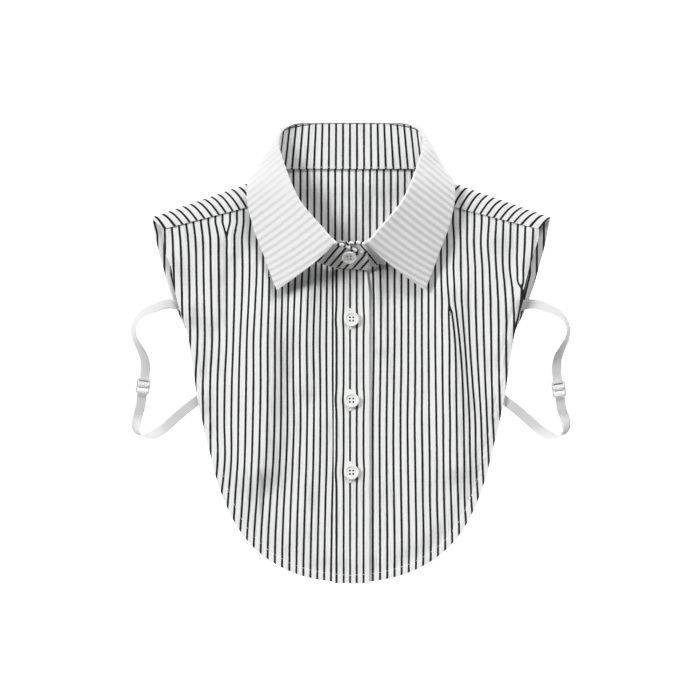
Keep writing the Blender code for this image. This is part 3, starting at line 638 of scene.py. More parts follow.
# how far a stripe moves towards the neck between the fold and the seam, by the place where it starts
yokeDrift = {
    -1: ((70, 13), (110, 13.6), (131, 13.9), (143, 12.9), (155, 12.4), (161, 12.1), (166, 9.7), (170, 8.5)),
    1: ((70, 12), (115, 12.4), (128, 13.4), (148, 13.6), (155, 14.2), (161, 12.9), (168, 10.9), (171, 10)),
}
flapSpec = {"foldRows": 15, "rows": 26, "rise": 0.6, "driftPower": 0.7}
backSpec = {
    "stripeAt": -1.6,
    "pitch": 5.91,
    "thickness": 0.65,
    "shares": 64,
    "rows": 120,
    "neckSteps": 40,
    "follow": 0.3,  # share of the fronts' ridges that the back takes up
    "covered": ((60, 30), (122, 20)),  # the y and x where that ends, and over what length
    # small creases of its own, in the form of the fronts' ridges, before that share
    "creases": (
        (-20, 20, -12, -60, 7, 7, 1.6),
        (44, -30, 36, -110, 7, 7, 1.2),
        (-96, -20, -88, -80, 7, 7, 1),
    ),
    "armhole": (125, 25),  # x where the stripes start to lean out, and over what width
    "lean": 0.24,  # for each mm below leanTop, over no more than leanOver
    "leanTop": 66,
    "leanOver": 40,
    "leftShift": (2.6, 112, 14),  # on the viewer's left a shift as well: size, y, and over what length
}


def seamLine(share):  # yoke seam from neck to tip
    neck, tip = np.array(shoulder["seamNeck"]), np.array(shoulder["seamTip"])
    return neck + share[:, None] * (tip - neck)


def bibPlan(outline, top, rowCount, start):  # half a bib in plan, blended between hem, side, top and centre
    columns, rows = knotsOf(top), ringed(rowCount, 0.001)
    hem = curveThrough(outline, columns * hemShare)
    hem[0] = start, outlineY(outline, start)
    edge = curveThrough(outline, hemShare + (1 - hemShare) * rows)
    edge[-1] = top[-1]
    centre = hem[0] + rows[:, None] * (top[0] - hem[0])
    s, t = columns[None, :, None], rows[:, None, None]
    across = centre[:, None] * (1 - s) + edge[:, None] * s
    low = hem[0] * (1 - s) + hem[-1] * s
    high = top[0] * (1 - s) + top[-1] * s
    return across + (hem - low) * (1 - t) + (top - high) * t


def shoulderFlap(share, foot, depth, side):  # from the back's level round the fold and down to the yoke seam
    away = shoulderAxis()[2]
    low = backLevel(foot[:, 0], foot[:, 1])
    rows = []
    for angle in np.radians(np.linspace(-90, 90, flapSpec["foldRows"])):
        height = foldHeight(share) * (0.5 + 0.5 * math.sin(angle))
        rows.append(np.column_stack((foot + depth * math.cos(angle), low + height)))
    seam = seamLine(share)
    for part in ringed(flapSpec["rows"], 0.012)[1:]:
        plan = foot * (1 - part) + seam * part
        lift = shoulder["step"] * smoothStep(part / flapSpec["rise"])
        rows.append(np.column_stack((plan, frontLevel(side * plan[:, 0], plan[:, 1]) + lift)))
    grid = np.array(rows)
    out = foot + depth
    down = np.maximum((out - grid[..., :2]) @ away, 0) / ((out - seam) @ away)
    down[: flapSpec["foldRows"] // 2] = 0
    drift = np.array(yokeDrift[side])
    start = grid[..., 0]
    for _ in range(8):  # settles on the place where the stripe at each point starts
        start = grid[..., 0] + down ** flapSpec["driftPower"] * np.interp(start, drift[:, 0], drift[:, 1])
    u = (side * start - backSpec["stripeAt"]) / backSpec["pitch"]
    return grid * (side, 1, 1), u, (foot[:, 1] + away[1] * runOf(grid)) / pitch


def underRelief(x, y):  # the back's own softer creases, under the fronts' ridges
    (endY, overY), (endX, overX) = backSpec["covered"]
    covered = smoothStep((endY - y) / overY) * smoothStep((endX - np.abs(x)) / overX)
    creases = np.clip(ridgeRelief(x, y, frontRelief["ridges"]), 0, None) + ridgeRelief(x, y, backSpec["creases"])
    return backSpec["follow"] * covered * creases


def backBib():  # two mirrored halves on the back's level, each with its shoulder flap along the top
    share = ringed(backSpec["shares"])
    neck, along, away = shoulderAxis()
    depth = 0.5 * foldHeight(share)[:, None] * away
    foot = neck + share[:, None] * along - depth
    top = np.vstack((resample(np.vstack((backNeckEdge, foot[:1])), backSpec["neckSteps"]), foot[1:]))
    plan = bibPlan(backOutline, top, backSpec["rows"], 0)
    x, y = plan[..., 0], plan[..., 1]
    near = smoothStep((x - backSpec["armhole"][0]) / backSpec["armhole"][1])
    shift, shiftTop, shiftOver = backSpec["leftShift"]
    patches = []
    for side in (1, -1):
        body = np.dstack((plan, backLevel(x, y) + underRelief(side * x, y)))
        bend = backSpec["lean"] * np.clip(backSpec["leanTop"] - y, 0, backSpec["leanOver"])
        if side < 0:
            bend = bend + shift * smoothStep((shiftTop - y) / shiftOver)
        u = (side * (x + near * bend) - backSpec["stripeAt"]) / backSpec["pitch"]
        patches.append((body * (side, 1, 1), u, y / pitch))
        patches.append(shoulderFlap(share, foot, depth, side))
    return clothPiece("back_bib", patches, backSpec["thickness"])


frontSpec = {
    "meeting": -7.5,  # where the two fronts meet under the band
    "gap": 0.3,
    "neckY": 72.8,
    "thickness": 0.65,
    "rows": 160,
    "neckSteps": 60,
    "seamSteps": 108,
}


def frontMiddle(x, y):  # middle of the fronts' cloth: the upper level and the hem's own relief
    return frontLevel(x, y) + hemRelief(x, y)


def front(node, side, stripes):  # half a bib from the button band to the armhole, its top along neck and yoke seam
    start = side * frontSpec["meeting"] + frontSpec["gap"] / 2
    neck = resample(np.vstack(((start, frontSpec["neckY"]), neckEdge)), frontSpec["neckSteps"])
    seam = seamLine(ringed(frontSpec["seamSteps"])) + (0, shoulder["lap"])
    corner = resample((seam[-1], np.add(shoulder["seamTip"], shoulder["armholeLap"])), 7)
    top = np.vstack((neck, seam[1:], corner[1:]))
    plan = bibPlan(frontEdge[side], top, frontSpec["rows"], start) * (side, 1)
    x, y = plan[..., 0], plan[..., 1]
    grid = np.dstack((plan, frontMiddle(x, y)))
    return clothPiece(node, [(grid, stripeCount(x, y, stripes), y / pitch)], frontSpec["thickness"])


bandSpec = {
    "left": -14.6,
    "right": 15.6,
    "hem": -196.3,
    "top": 70.5,
    "thickness": 1,
    "lift": 1.05,  # its middle above the front's
    "stripes": (-12.2, -6.2, -0.8, 4.8, 10.7, 16.4),
    "bulge": 0.6,  # how far a stripe gives way to a button
    "bulgeReach": 8,
    "topLean": 2,  # how far its free side is drawn in at the top
    "topReach": 14,
    "ripple": 0.1,  # small waves beside its two edges
    "rippleLength": 3.7,
    "ripplePlace": (13, 2),  # from the middle, and how wide
    "seamDip": 1.15,  # its sewn side comes down to the front
    "seamWidth": 2.3,
    "curl": 1.4,  # how far its free edge stands up, most at the top
    "curlFrom": 9,
    "curlWidth": 6.6,
    "curlLeast": 0.45,
    "curlTop": (62, 34),  # y where it is greatest, and over what length
    "buttonDip": 0.25,
    "dipReach": 7,
    "columns": 34,
    "rows": 190,
}
buttonSpec = {
    "radius": 6.45,
    "thick": 2.3,
    "x": 0.5,
    "rows": (28, -40.9, -102),
    "seatRadius": 6,  # it lies on the highest cloth that far round its middle
    "seat": 0.3,
    "tabPlace": (-1.5, 81.2),
    "tabSeat": 0.7,
    "holeRadius": 0.82,
    "holeSpread": 1.45,
    "post": ((0, -1.2), (0.7, -1.2), (0.7, 0.3), (0.5, 0.6), (0, 0.7)),  # thread in a hole: radius, height
}


def bandMiddle(x, y):  # the upper level, lifted by a layer, with the free edge curled and buttons pressed in
    place, width = bandSpec["ripplePlace"]
    ripple = bandSpec["ripple"] * np.sin(y / bandSpec["rippleLength"]) * bell(np.abs(x - 0.5) - place, width)
    lift = bandSpec["lift"] + ripple
    lift = lift - bandSpec["seamDip"] * (1 - smoothStep((x - bandSpec["left"]) / bandSpec["seamWidth"]))
    curl = bandSpec["curl"] * smoothStep((x - bandSpec["curlFrom"]) / bandSpec["curlWidth"])
    topY, length = bandSpec["curlTop"]
    lift = lift + curl * (bandSpec["curlLeast"] + bell(y - topY, length))
    for buttonY in buttonSpec["rows"]:
        near = bell(np.hypot(x - buttonSpec["x"], y - buttonY), bandSpec["dipReach"])
        lift = lift - bandSpec["buttonDip"] * near
    return frontLevel(x, y) + lift


def placket():  # an even grid on the band's middle, drawn in at the top, its stripes pushed aside by the buttons
    x = bandSpec["left"] + ringed(bandSpec["columns"], 0.008) * (bandSpec["right"] - bandSpec["left"])
    y = bandSpec["hem"] + ringed(bandSpec["rows"], 0.001) * (bandSpec["top"] - bandSpec["hem"])
    x, y = np.meshgrid(x, y)
    lines = np.array(bandSpec["stripes"])
    near = sum(bell(y - buttonY, bandSpec["bulgeReach"]) for buttonY in buttonSpec["rows"])
    drawnIn = bell(y - bandSpec["top"], bandSpec["topReach"])
    x = x - bandSpec["topLean"] * drawnIn * smoothStep((x + 2) / 17)
    place = x - bandSpec["bulge"] * near * np.clip((x - buttonSpec["x"]) / 6, -1, 1)
    u = np.interp(place, lines, np.arange(len(lines)))
    u = u + (np.minimum(place - lines[0], 0) + np.maximum(place - lines[-1], 0)) / pitch
    return clothPiece("placket", [(np.dstack((x, y, bandMiddle(x, y))), u, y / pitch)], bandSpec["thickness"])


backPiece = backBib()
frontRightPiece = front("front_right", -1, rightFrontStripes)
frontLeftPiece = front("front_left", 1, leftFrontStripes)
placketPiece = placket()
print("bibs made")


# the collar

standSpec = {
    "thickness": 0.9,
    "stations": 330,
    "rows": 30,
    "slantHeight": 8,  # the height at which a slanted stripe keeps its place
    "stripeAt": 0.85,
    "slant": 0.8,  # how its stripes slant on the sides, and where along it that starts and is full
    "slantFrom": 95,
    "slantTo": 150,
    # on its ends the stripes lie evenly in plan: slant, place, repeat, and how far from the end, over what length
    "tab": (0.88, 88.9, 7.04, 72, 24),
    "under": (1.18, 100.3, 12.4, 78, 26),
    "underPower": 0.6,
}
fallSpec = {
    "thickness": 1.15,
    "step": 1.15,  # its middle from the stand's
    "wrapBack": 85,  # degrees that it goes round the stand's top edge, at the back and at the sides
    "wrapSide": 155,
    "wrapEnd": 55,
    "wrapRows": 9,
    "sideFrom": (44, 14, 170, 12),  # x and y where the sides start, each with its length
    "leafFrom": (48, 30),  # run where the leaves' stripes take over, and over what length
    "stations": 280,
    "rows": 56,
}
leafStripes = {
    # count down the leaf, with the y of that stripe at each x of "across"
    "across": (-84, -69, -52, -35),
    "rows": (
        (20, 173.5, 186, 204, 221),
        (15, 155, 168.5, 184.5, 200.5),
        (12, 142, 154.5, 168.5, 183.5),
        (8, 118.5, 129.5, 142, 155.5),
        (4, 90.5, 100.5, 113, 127),
        (0, 67, 75, 84, 96.5),
        (-3, 50.5, 58, 65.5, 76.5),
    ),
    "reach": (-92, -12),
    "repeats": (5.2, 4),  # past the lowest and the highest of them
    "backCount": -32,
}


def standRows():  # sections of the whole stand, from the under end round to the tab
    half = np.array(standSections)
    return np.vstack((underEnd[::-1], half[::-1], half[1:] * ((-1, 1, 1) * 2), tabEnd))


def standLines(at):  # seam line, roll line, outward direction, and the knots of the sections
    rows = standRows()
    knots = 0.5 * (knotsOf(rows[:, :3]) + knotsOf(rows[:, 3:]))
    both, ahead, behind = (curveThrough(rows, np.clip(at + step, 0, 1), knots) for step in (0, 0.001, -0.001))
    seam, roll = both[:, :3], both[:, 3:]
    return seam, roll, unit(np.cross(ahead[:, 3:] - behind[:, 3:], roll - seam)), knots


def runAlong(points, at, zeroAt):  # distance along a line of points, 0 at the place zeroAt
    run = runOf(points)
    return run - np.interp(zeroAt, at, run)


def inStep(other, u, weight):  # another count of stripes, moved by whole repeats to meet u where its weight is half
    meet = np.argmin(np.abs(weight[0] - 0.5))
    return other + np.round((u - other)[:, meet].mean())


def collarStand():  # straight from seam line to roll line, with stripes counted by the run along the middle
    at, share = ringed(standSpec["stations"], 0.0008), ringed(standSpec["rows"], 0.012)[:, None]
    seam, roll, _, knots = standLines(at)
    grid = seam * (1 - share[..., None]) + roll * share[..., None]
    x, y = grid[..., 0], grid[..., 1]
    run = runAlong(0.5 * (seam + roll), at, knots[len(underEnd) + len(standSections) - 1])[None, :]
    height = np.linalg.norm(roll - seam, axis=1) * share
    slant = smoothStep((np.abs(run) - standSpec["slantFrom"]) / (standSpec["slantTo"] - standSpec["slantFrom"]))
    slant = standSpec["slant"] * slant * np.sign(run)
    u = (standSpec["stripeAt"] - run + slant * (height - standSpec["slantHeight"])) / pitch
    lean, place, repeat, length, over = standSpec["tab"]
    onTab = smoothStep((run - run.max() + length) / over)
    tab = inStep((lean * y - x - place) / repeat, u, onTab)
    u = u * (1 - onTab) + tab * onTab
    lean, place, repeat, length, over = standSpec["under"]
    onUnder = smoothStep((run.min() + length - run) / over)
    under = narrowed(inStep((place - lean * x - y) / repeat, u, onUnder), standSpec["underPower"])
    u = u * (1 - onUnder) + under * onUnder
    return clothPiece("collar_stand", [(grid, u, height / pitch)], standSpec["thickness"])


def leafCount(x, y):  # stripe number on a leaf, for x on the viewer's left: a parabola runs through each row's stripe
    table = np.array(leafStripes["rows"], float)[::-1]
    fits = np.polyfit(np.divide(leafStripes["across"], 50), table[:, 1:].T, 2)
    keys = np.vander(np.clip(x.ravel(), *leafStripes["reach"]) / 50, 3) @ fits
    keys = np.maximum.accumulate(keys, axis=1)
    counts, at = table[:, 0], y.ravel()
    below, above = leafStripes["repeats"]
    u = counts[0] + np.minimum(at - keys[:, 0], 0) / below + np.maximum(at - keys[:, -1], 0) / above
    for j, steps in enumerate(np.diff(counts)):
        gap = np.maximum(keys[:, j + 1] - keys[:, j], 0.5)
        u = u + steps * np.clip((at - keys[:, j]) / gap, 0, 1)
    return u.reshape(x.shape)


def collarFall():  # round the stand's top edge, then a bend with two handles down to the free edge
    knots = standLines(np.array((0, 1)))[3]
    own = knots[len(underEnd) : len(underEnd) + 2 * len(standSections) - 1]
    half = np.array(fallSections)
    rows = np.vstack((half[::-1], half[1:] * ((-1, 1, 1) * 3)))
    at = own[0] + ringed(fallSpec["stations"], 0.001) * (own[-1] - own[0])
    seam, roll, outward, _ = standLines(at)
    sideX, overX, sideY, overY = fallSpec["sideFrom"]
    atSide = smoothStep((np.abs(roll[:, 0]) - sideX) / overX) + smoothStep((sideY - roll[:, 1]) / overY)
    wrap = fallSpec["wrapBack"] + (fallSpec["wrapSide"] - fallSpec["wrapBack"]) * np.clip(atSide, 0, 1)
    turn = np.radians(fallSpec["wrapEnd"] + wrap * np.linspace(1, 0, fallSpec["wrapRows"])[:, None])[..., None]
    over = roll + fallSpec["step"] * (np.cos(turn) * outward + np.sin(turn) * unit(roll - seam))
    first, second, edge = np.split(curveThrough(rows, at, own), 3, axis=1)
    t = ringed(fallSpec["rows"], 0.006)[1:, None, None]
    bend = over[-1] * (1 - t) ** 3 + 3 * first * t * (1 - t) ** 2 + 3 * second * t**2 * (1 - t) + edge * t**3
    grid = np.concatenate((over, bend))
    x, y = grid[..., 0], grid[..., 1]
    run = runAlong(roll, at, own[len(standSections) - 1])
    side = np.where(run < 0, 1, -1)
    leaf = -side * (leafCount(-side * x, y) + leafStripes["backCount"])
    weight = smoothStep((np.abs(run) - fallSpec["leafFrom"][0]) / fallSpec["leafFrom"][1])
    u = weight * leaf + (1 - weight) * x / pitch
    patch = (grid, u, runOf(grid) / pitch)
    return clothPiece("collar_fall", [patch], fallSpec["thickness"], paleStriped)


rolledEdge = {
    # ends of each roll along the throat: x of its start and end, lift, and where its stripes start
    "rolls": ((-14.5, 14.2, 0.8, 0.35), (-2, 14, 0.5, 0.1)),
    "radius": 1.25,
    "pitch": 6.4,
    "ring": 14,
    # waves in its way and in its radius: size, length and start of each
    "sway": ((0.35, 1.7, 0), (0.2, 0.75, 1)),
    "swell": ((0.22, 1.15, 0.6), (0.14, 0.6, 0)),
    "steps": 90,
    "taper": 1.2,  # length of its rounded ends
}


def waves(run, terms):  # sum of sines along the run
    return sum(size * np.sin(run / length + start) for size, length, start in terms)


def rolledEdges():  # the stand's turned top edges where its ends cross: uneven tubes along the two roll lines
    tubes = []
    rows = standRows()[:, 3:]
    for (start, end, lift, phase), line in zip(rolledEdge["rolls"], (rows[-8:], rows[:6])):
        line = curveThrough(line, np.linspace(0, 1, 300))
        line = line[(line[:, 0] >= start) & (line[:, 0] <= end)]
        path = resample(line[np.argsort(line[:, 0])], rolledEdge["steps"]) + (0, 0.2, lift)
        run = runOf(path)
        path = path + beside(path)[0] * waves(run, rolledEdge["sway"])[:, None]
        radius = rolledEdge["radius"] * (1 + waves(run, rolledEdge["swell"]))
        radius = radius * np.sqrt(np.clip(np.minimum(run, run[-1] - run) / rolledEdge["taper"], 0.02, 1))
        points, faces, turn = tubeAlong(path, radius, rolledEdge["ring"])
        tubes.append((points, faces, np.repeat(run / rolledEdge["pitch"] + phase, rolledEdge["ring"]), turn / 6))
    points, faces, u, v = gathered(tubes)
    mesh = mended(meshFrom(points, faces, np.column_stack((u, v))[faces]), fill=True)
    addPiece("stand_rolled_edges", mesh, striped, [])


# a thin dark tube, painted shadow along the seam inside the collar's two top corners
shadowLineCord = {"below": 1.6, "off": 0.1, "radius": 0.36, "from": 32, "full": 46, "lowest": 158, "steps": 60, "taper": 14}


def collarSeamShadowLine():  # a dark tube along the seam between stand and fall inside the two top corners: painted shadow of the gap there
    seam, roll, outward, _ = standLines(np.linspace(0, 1, 900))
    start, steps = shadowLineCord["from"], shadowLineCord["steps"]
    below = shadowLineCord["below"] * np.clip((np.abs(roll[:, 0]) - start) / (shadowLineCord["full"] - start), 0, 1)
    line = roll + unit(seam - roll) * below[:, None] - outward * (standSpec["thickness"] / 2 + shadowLineCord["off"])
    ends = np.minimum(np.arange(steps), np.arange(steps)[::-1]) / shadowLineCord["taper"]
    radius = shadowLineCord["radius"] * np.sqrt(np.clip(ends, 0.01, 1))
    tubes = []
    for side in (-1, 1):
        part = line[(roll[:, 0] * side > start) & (roll[:, 1] > shadowLineCord["lowest"])]
        tubes.append(tubeAlong(resample(part, steps), radius, 8)[:2])
    mesh = mended(meshFrom(*gathered(tubes)), fill=True)
    addPiece("collar_seam_painted_shadow", mesh, paintedShadeThread, [])


standPiece = collarStand()
rolledEdges()
collarSeamShadowLine()
fallPiece = collarFall()
print("collar made")


# buttons

spread = buttonSpec["holeSpread"]
holePlaces = [(x, y, 0) for x in (-spread, spread) for y in (-spread, spread)]


def turned(profile, steps):  # points and faces of a profile (radius, height) turned round Z, closed at both poles
    angle = circle(steps)
    radius, height = np.array(profile[1:-1]).T[..., None]
    rings = np.stack(np.broadcast_arrays(radius * np.cos(angle), radius * np.sin(angle), height), axis=-1)
    points = np.vstack(((0, 0, profile[0][1]), rings.reshape(-1, 3), (0, 0, profile[-1][1])))
    first = 1 + np.arange(steps)
    last = first + len(points) - 2 - steps
    faces = (1 + gridFaces(len(radius), steps, closed=True)).tolist()
    faces += [[0, b, a] for a, b in zip(first, np.roll(first, -1))]
    faces += [[len(points) - 1, a, b] for a, b in zip(last, np.roll(last, -1))]
    return points, faces


def buttonMesh():  # turned disc: rounded rim, groove, dished middle, and four holes cut through
    r, h = buttonSpec["radius"], buttonSpec["thick"]
    profile = [(0, 0), (r - 1.6, 0), (r - 0.8, 0.18), (r - 0.2, 0.75), (r, 1.3), (r - 0.12, 1.75)]
    profile += [(r - 0.45, h - 0.12), (r - 0.9, h), (r - 1.35, h - 0.08), (r - 1.75, h - 0.5), (r - 2.1, h - 0.62)]
    profile += [(r - 3.2, h - 0.68), (1.2, h - 0.7), (0, h - 0.7)]
    body = placed("buttonBody", meshFrom(*turned(profile, 48)))
    bm = bmesh.new()
    size = {"segments": 14, "depth": 12 * mm, "cap_ends": True}
    for end in ("radius1", "radius2"):
        size[end] = buttonSpec["holeRadius"] * mm
    for place in holePlaces:
        bmesh.ops.create_cone(bm, matrix=Matrix.Translation(Vector(place) * mm), **size)
    holes = bpy.data.meshes.new("holes")
    bm.to_mesh(holes)
    bm.free()
    cutter = placed("buttonHoles", holes)
    cut = body.modifiers.new("holes", "BOOLEAN")
    cut.operation = "DIFFERENCE"
    cut.solver = "EXACT"
    cut.object = cutter
    graph = bpy.context.evaluated_depsgraph_get()
    done = bpy.data.meshes.new_from_object(body.evaluated_get(graph))
    bpy.data.objects.remove(body)
    bpy.data.objects.remove(cutter)
    return done


def addButton(node, place, thread):  # a copy of the cut button at that place, and the thread in its holes
    mesh = cutButton.copy()
    mesh.transform(place)
    addPiece(node + "_turned", mesh, buttonPlastic, [node])
    mesh.set_sharp_from_angle(angle=math.radians(40))
    points, faces = turned(buttonSpec["post"], 10)  # the thread that fills the holes, as four short posts
    faces = [[i + k * len(points) for i in face] for k in range(len(holePlaces)) for face in faces]
    plugs = meshFrom(np.concatenate([points + hole for hole in holePlaces]), faces)
    plugs.transform(place)
    addPiece(node + "_thread", plugs, thread, [])


def addButtons():  # three on the highest cloth of the band, and one square on the stand's tab
    ring = circle(24)
    x, around = buttonSpec["x"], buttonSpec["seatRadius"]
    for number, y in enumerate(buttonSpec["rows"], start=1):
        high = bandMiddle(x + around * np.cos(ring), y + around * np.sin(ring)).max()
        seat = high + bandSpec["thickness"] / 2 + buttonSpec["seat"]
        # the band's buttons get dark posts: painted shade at the bottoms of their holes
        addButton("button_" + str(number), Matrix.Translation(Vector((x, y, seat)) * mm), paintedShadeThread)
    seam, roll = np.array(tabEnd[0][:3]), np.array(tabEnd[0][3:])
    x, y = buttonSpec["tabPlace"]
    onTab = seam + (y - seam[1]) / (roll[1] - seam[1]) * (roll - seam)
    tilt = math.atan2(roll[2] - seam[2], roll[1] - seam[1])
    normal = Vector((0, -math.sin(tilt), math.cos(tilt)))
    place = Vector((x, onTab[1], onTab[2])) + normal * (standSpec["thickness"] / 2 + buttonSpec["tabSeat"])
    addButton("button_stand", Matrix.Translation(place * mm) @ Matrix.Rotation(tilt, 4, "X"), whiteThread)


cutButton = buttonMesh()
addButtons()
print("buttons made")


# elastic and sliders

elasticSpec = {"width": 8.2, "thickness": 0.7, "corners": (0.35, 0.6), "turns": 48, "steps": 12}
sliderSpec = {"turn": 8, "centre": (176.5, -30.2), "shift": {"left": 1.3, "right": -1.3}}
# middle of the straps on the viewer's right, and how far they are rolled, in degrees
upperStrap = (
    (142.2, 38.6, 1.85, 0), (150.8, 40.7, 2.05, 4), (158, 40.4, 1.6, 15), (166, 37.6, 2.6, 30),
    (174.5, 34.2, 3.6, 48), (181, 28.5, 4.2, 62), (184.6, 20.5, 4.4, 66), (183.4, 11.5, 4.2, 60),
    (179, 2.8, 3.4, 45), (175.5, -5.4, 2.2, 24), (174.6, -13.5, 0.9, 6),
)
lowerStrap = (
    (181.2, -54.5, 0.9, 0), (182.6, -61.5, 2.4, 14), (181, -67.8, 4.2, 55), (176.2, -71.2, 4.6, 92),
    (168.4, -70.4, 3.6, 140), (160, -65.6, 1.2, 170), (150.5, -57.2, 0.45, 180),
    (140, -48.2, 0.45, 180), (130, -40.6, 0.45, 180), (122.5, -35.2, 0.45, 180),
)
# the stretches inside the slider: place along its axis, and height
upperThread = ((9.5, 0.45), (6, 0.45), (4.5, 0.5), (2.9, 1.9), (1.4, 3.1), (0, 3.35), (-1.2, 3), (-1.7, 2.1))
lowerThread = (
    (-13.5, 0.45), (-9, 0.45), (-5.6, 0.45), (-4.2, 0.7), (-3.7, 1.8), (-4.3, 2.8), (-5.6, 3.2), (-7.2, 2.9),
    (-9.5, 2.1), (-13, 1.65), (-17, 1.45),
)
leanOf = {-1: 0.9, 1: 1}  # the left strap stands up a little less


def strapRows(rows, lean=1):  # points of a strap and the way across it, rolled by the row's tilt
    rows = np.array(rows)
    points, tilt = rows[:, :3], np.radians(rows[:, 3:]) * lean
    across = np.cross(unit(np.gradient(points * (1, 1, 0), axis=0)), (0, 0, 1))
    return np.hstack((points, across * np.cos(tilt) + np.array((0, 0, 1)) * np.sin(tilt)))


def threadRows(rows, shift):  # the same for the stretch inside the slider, along the slider's axis
    turn = math.radians(sliderSpec["turn"])
    rows = np.array(rows)
    plan = np.array(sliderSpec["centre"]) + (0, shift) + rows[:, :1] * (-math.sin(turn), math.cos(turn))
    return np.column_stack((plan, rows[:, 1], np.tile((-math.cos(turn), -math.sin(turn), 0), (len(rows), 1))))


def rounded(wave, half, power):  # a sine or cosine squared off towards a flat band's section
    return half * np.sign(wave) * np.abs(wave) ** power


def elastic(node, rows, side):  # a flat band with rounded edges, its section carried along the strap
    knots = knotsOf(rows[:, :3])
    spans = len(knots) - 1
    at = np.interp(np.linspace(0, spans, elasticSpec["steps"] * spans + 1), np.arange(spans + 1), knots)
    middle, wide = np.split(curveThrough(rows, at, knots), 2, axis=1)
    wide = unit(wide)
    half, thick = elasticSpec["width"] / 2, elasticSpec["thickness"] / 2
    lowest = middle[:, 2] - np.abs(wide[:, 2]) * half - thick
    middle[:, 2] -= np.minimum(lowest, 0)
    ahead = unit(np.gradient(middle, axis=0))
    wide = unit(wide - ahead * np.sum(wide * ahead, axis=1)[:, None])
    turn = circle(elasticSpec["turns"])
    widePower, thickPower = elasticSpec["corners"]
    sx, sz = rounded(np.cos(turn), half, widePower), rounded(np.sin(turn), thick, thickPower)
    points, faces = swept(middle, wide, np.cross(wide, ahead), sx, sz)
    cloth = np.column_stack((np.tile(sx, len(middle)), np.repeat(runOf(middle), len(sx))))
    mesh = mended(meshFrom(points * (side, 1, 1), faces, cloth[faces]), fill=True)
    addPiece(node + "_woven", mesh, elasticWeave, [node])
    mesh.set_sharp_from_angle(angle=math.radians(60))


for name, side in (("left", -1), ("right", 1)):
    shift = sliderSpec["shift"][name]
    upper = np.vstack((strapRows(upperStrap, leanOf[side]), threadRows(upperThread, shift)))
    lower = np.vstack((threadRows(lowerThread, shift), strapRows(lowerStrap)))
    elastic("strap_upper_" + name, upper, side)
    elastic("strap_lower_" + name, lower, side)
    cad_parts["slider_" + name].material_slots[0].material = nylon
print("elastic made")


# stitches

stitchSpec = {
    "length": 2.3,
    "gap": 0.55,
    "radius": 0.14,
    # the six rings of a stitch: place along it, girth, and height over the cloth
    "rings": ((0, 0.06, 0.3, 0.7, 0.94, 1), (0.35, 0.9, 1, 1, 0.9, 0.35), (-0.25, 0, 0.06, 0.06, 0, -0.25)),
    "first": 0.3,
    "hemTop": -95,
    "hemStart": 17,
    "aboveSeam": 1.6,
    "off": 0.02,
}


def stitches(name, lines):  # lines: paths with the way up; each stitch is a short six-sided bar with round ends
    share, girth, lift = np.array(stitchSpec["rings"])
    turn = circle(6)
    wide, high = (stitchSpec["radius"] * np.outer(girth, wave)[..., None] for wave in (np.cos(turn), np.sin(turn)))
    step = stitchSpec["length"] + stitchSpec["gap"]
    bars = []
    for line, up in lines:
        run = runOf(line)
        at = np.arange(stitchSpec["first"], run[-1] - step, step)[:, None] + share * stitchSpec["length"]
        middle, rise = (np.stack([np.interp(at, run, part) for part in values.T], axis=-1) for values in (line, up))
        middle = middle + rise * lift[:, None]
        side = np.cross(rise, unit(middle[:, -1:] - middle[:, :1]))
        bars.append(middle[:, :, None] + side[:, :, None] * wide + rise[:, :, None] * high)
    bars = np.concatenate(bars)
    first = 36 * np.arange(len(bars))[:, None, None]
    sides = gridFaces(6, 6, closed=True) + first
    caps = np.array((range(5, -1, -1), range(30, 36))) + first
    faces = sides.reshape(-1, 4).tolist() + caps.reshape(-1, 6).tolist()
    return addPiece(name, mended(meshFrom(bars.reshape(-1, 3), faces)), whiteThread, [])


def hemStitches():  # along the outline moved inwards by the hem's width, on the fronts and then on the band
    lines = []
    for side in (-1, 1):
        line = curveThrough(frontEdge[side], np.linspace(0, 0.985, 700))
        ahead = unit(np.gradient(line, axis=0))
        line = line + frontRelief["hemWidth"] * np.column_stack((-ahead[:, 1], ahead[:, 0]))
        line = line[(line[:, 0] > stitchSpec["hemStart"]) & (line[:, 1] < stitchSpec["hemTop"])] * (side, 1)
        lines.append(np.column_stack((line, frontMiddle(*line.T) + frontSpec["thickness"] / 2)))
    x = np.linspace(bandSpec["left"] + 1, bandSpec["right"] - 1, 30)
    y = outlineY(frontOutline, x) + frontRelief["hemWidth"]
    lines.append(np.column_stack((x, y, bandMiddle(x, y) + bandSpec["thickness"] / 2)))
    return stitches("hem_stitches", [(line, np.tile((0, 0, 1), (len(line), 1))) for line in lines])


def standStitches():  # one row close above the neck seam, seen on both sides
    seam, roll, outward, _ = standLines(np.linspace(0, 1, 700))
    middle = seam + unit(roll - seam) * stitchSpec["aboveSeam"]
    off = standSpec["thickness"] / 2 + stitchSpec["off"]
    return stitches("stand_stitches", [(middle + way * off, way) for way in (outward, -outward)])


hemThread = hemStitches()
standThread = standStitches()
print("stitches made")


# buttonholes on the band, worked in satin stitch

holeSpec = {"halfLength": 8.6, "halfWidth": 0.75, "bead": 0.55, "flatness": 0.6, "x": -1, "steps": 96}


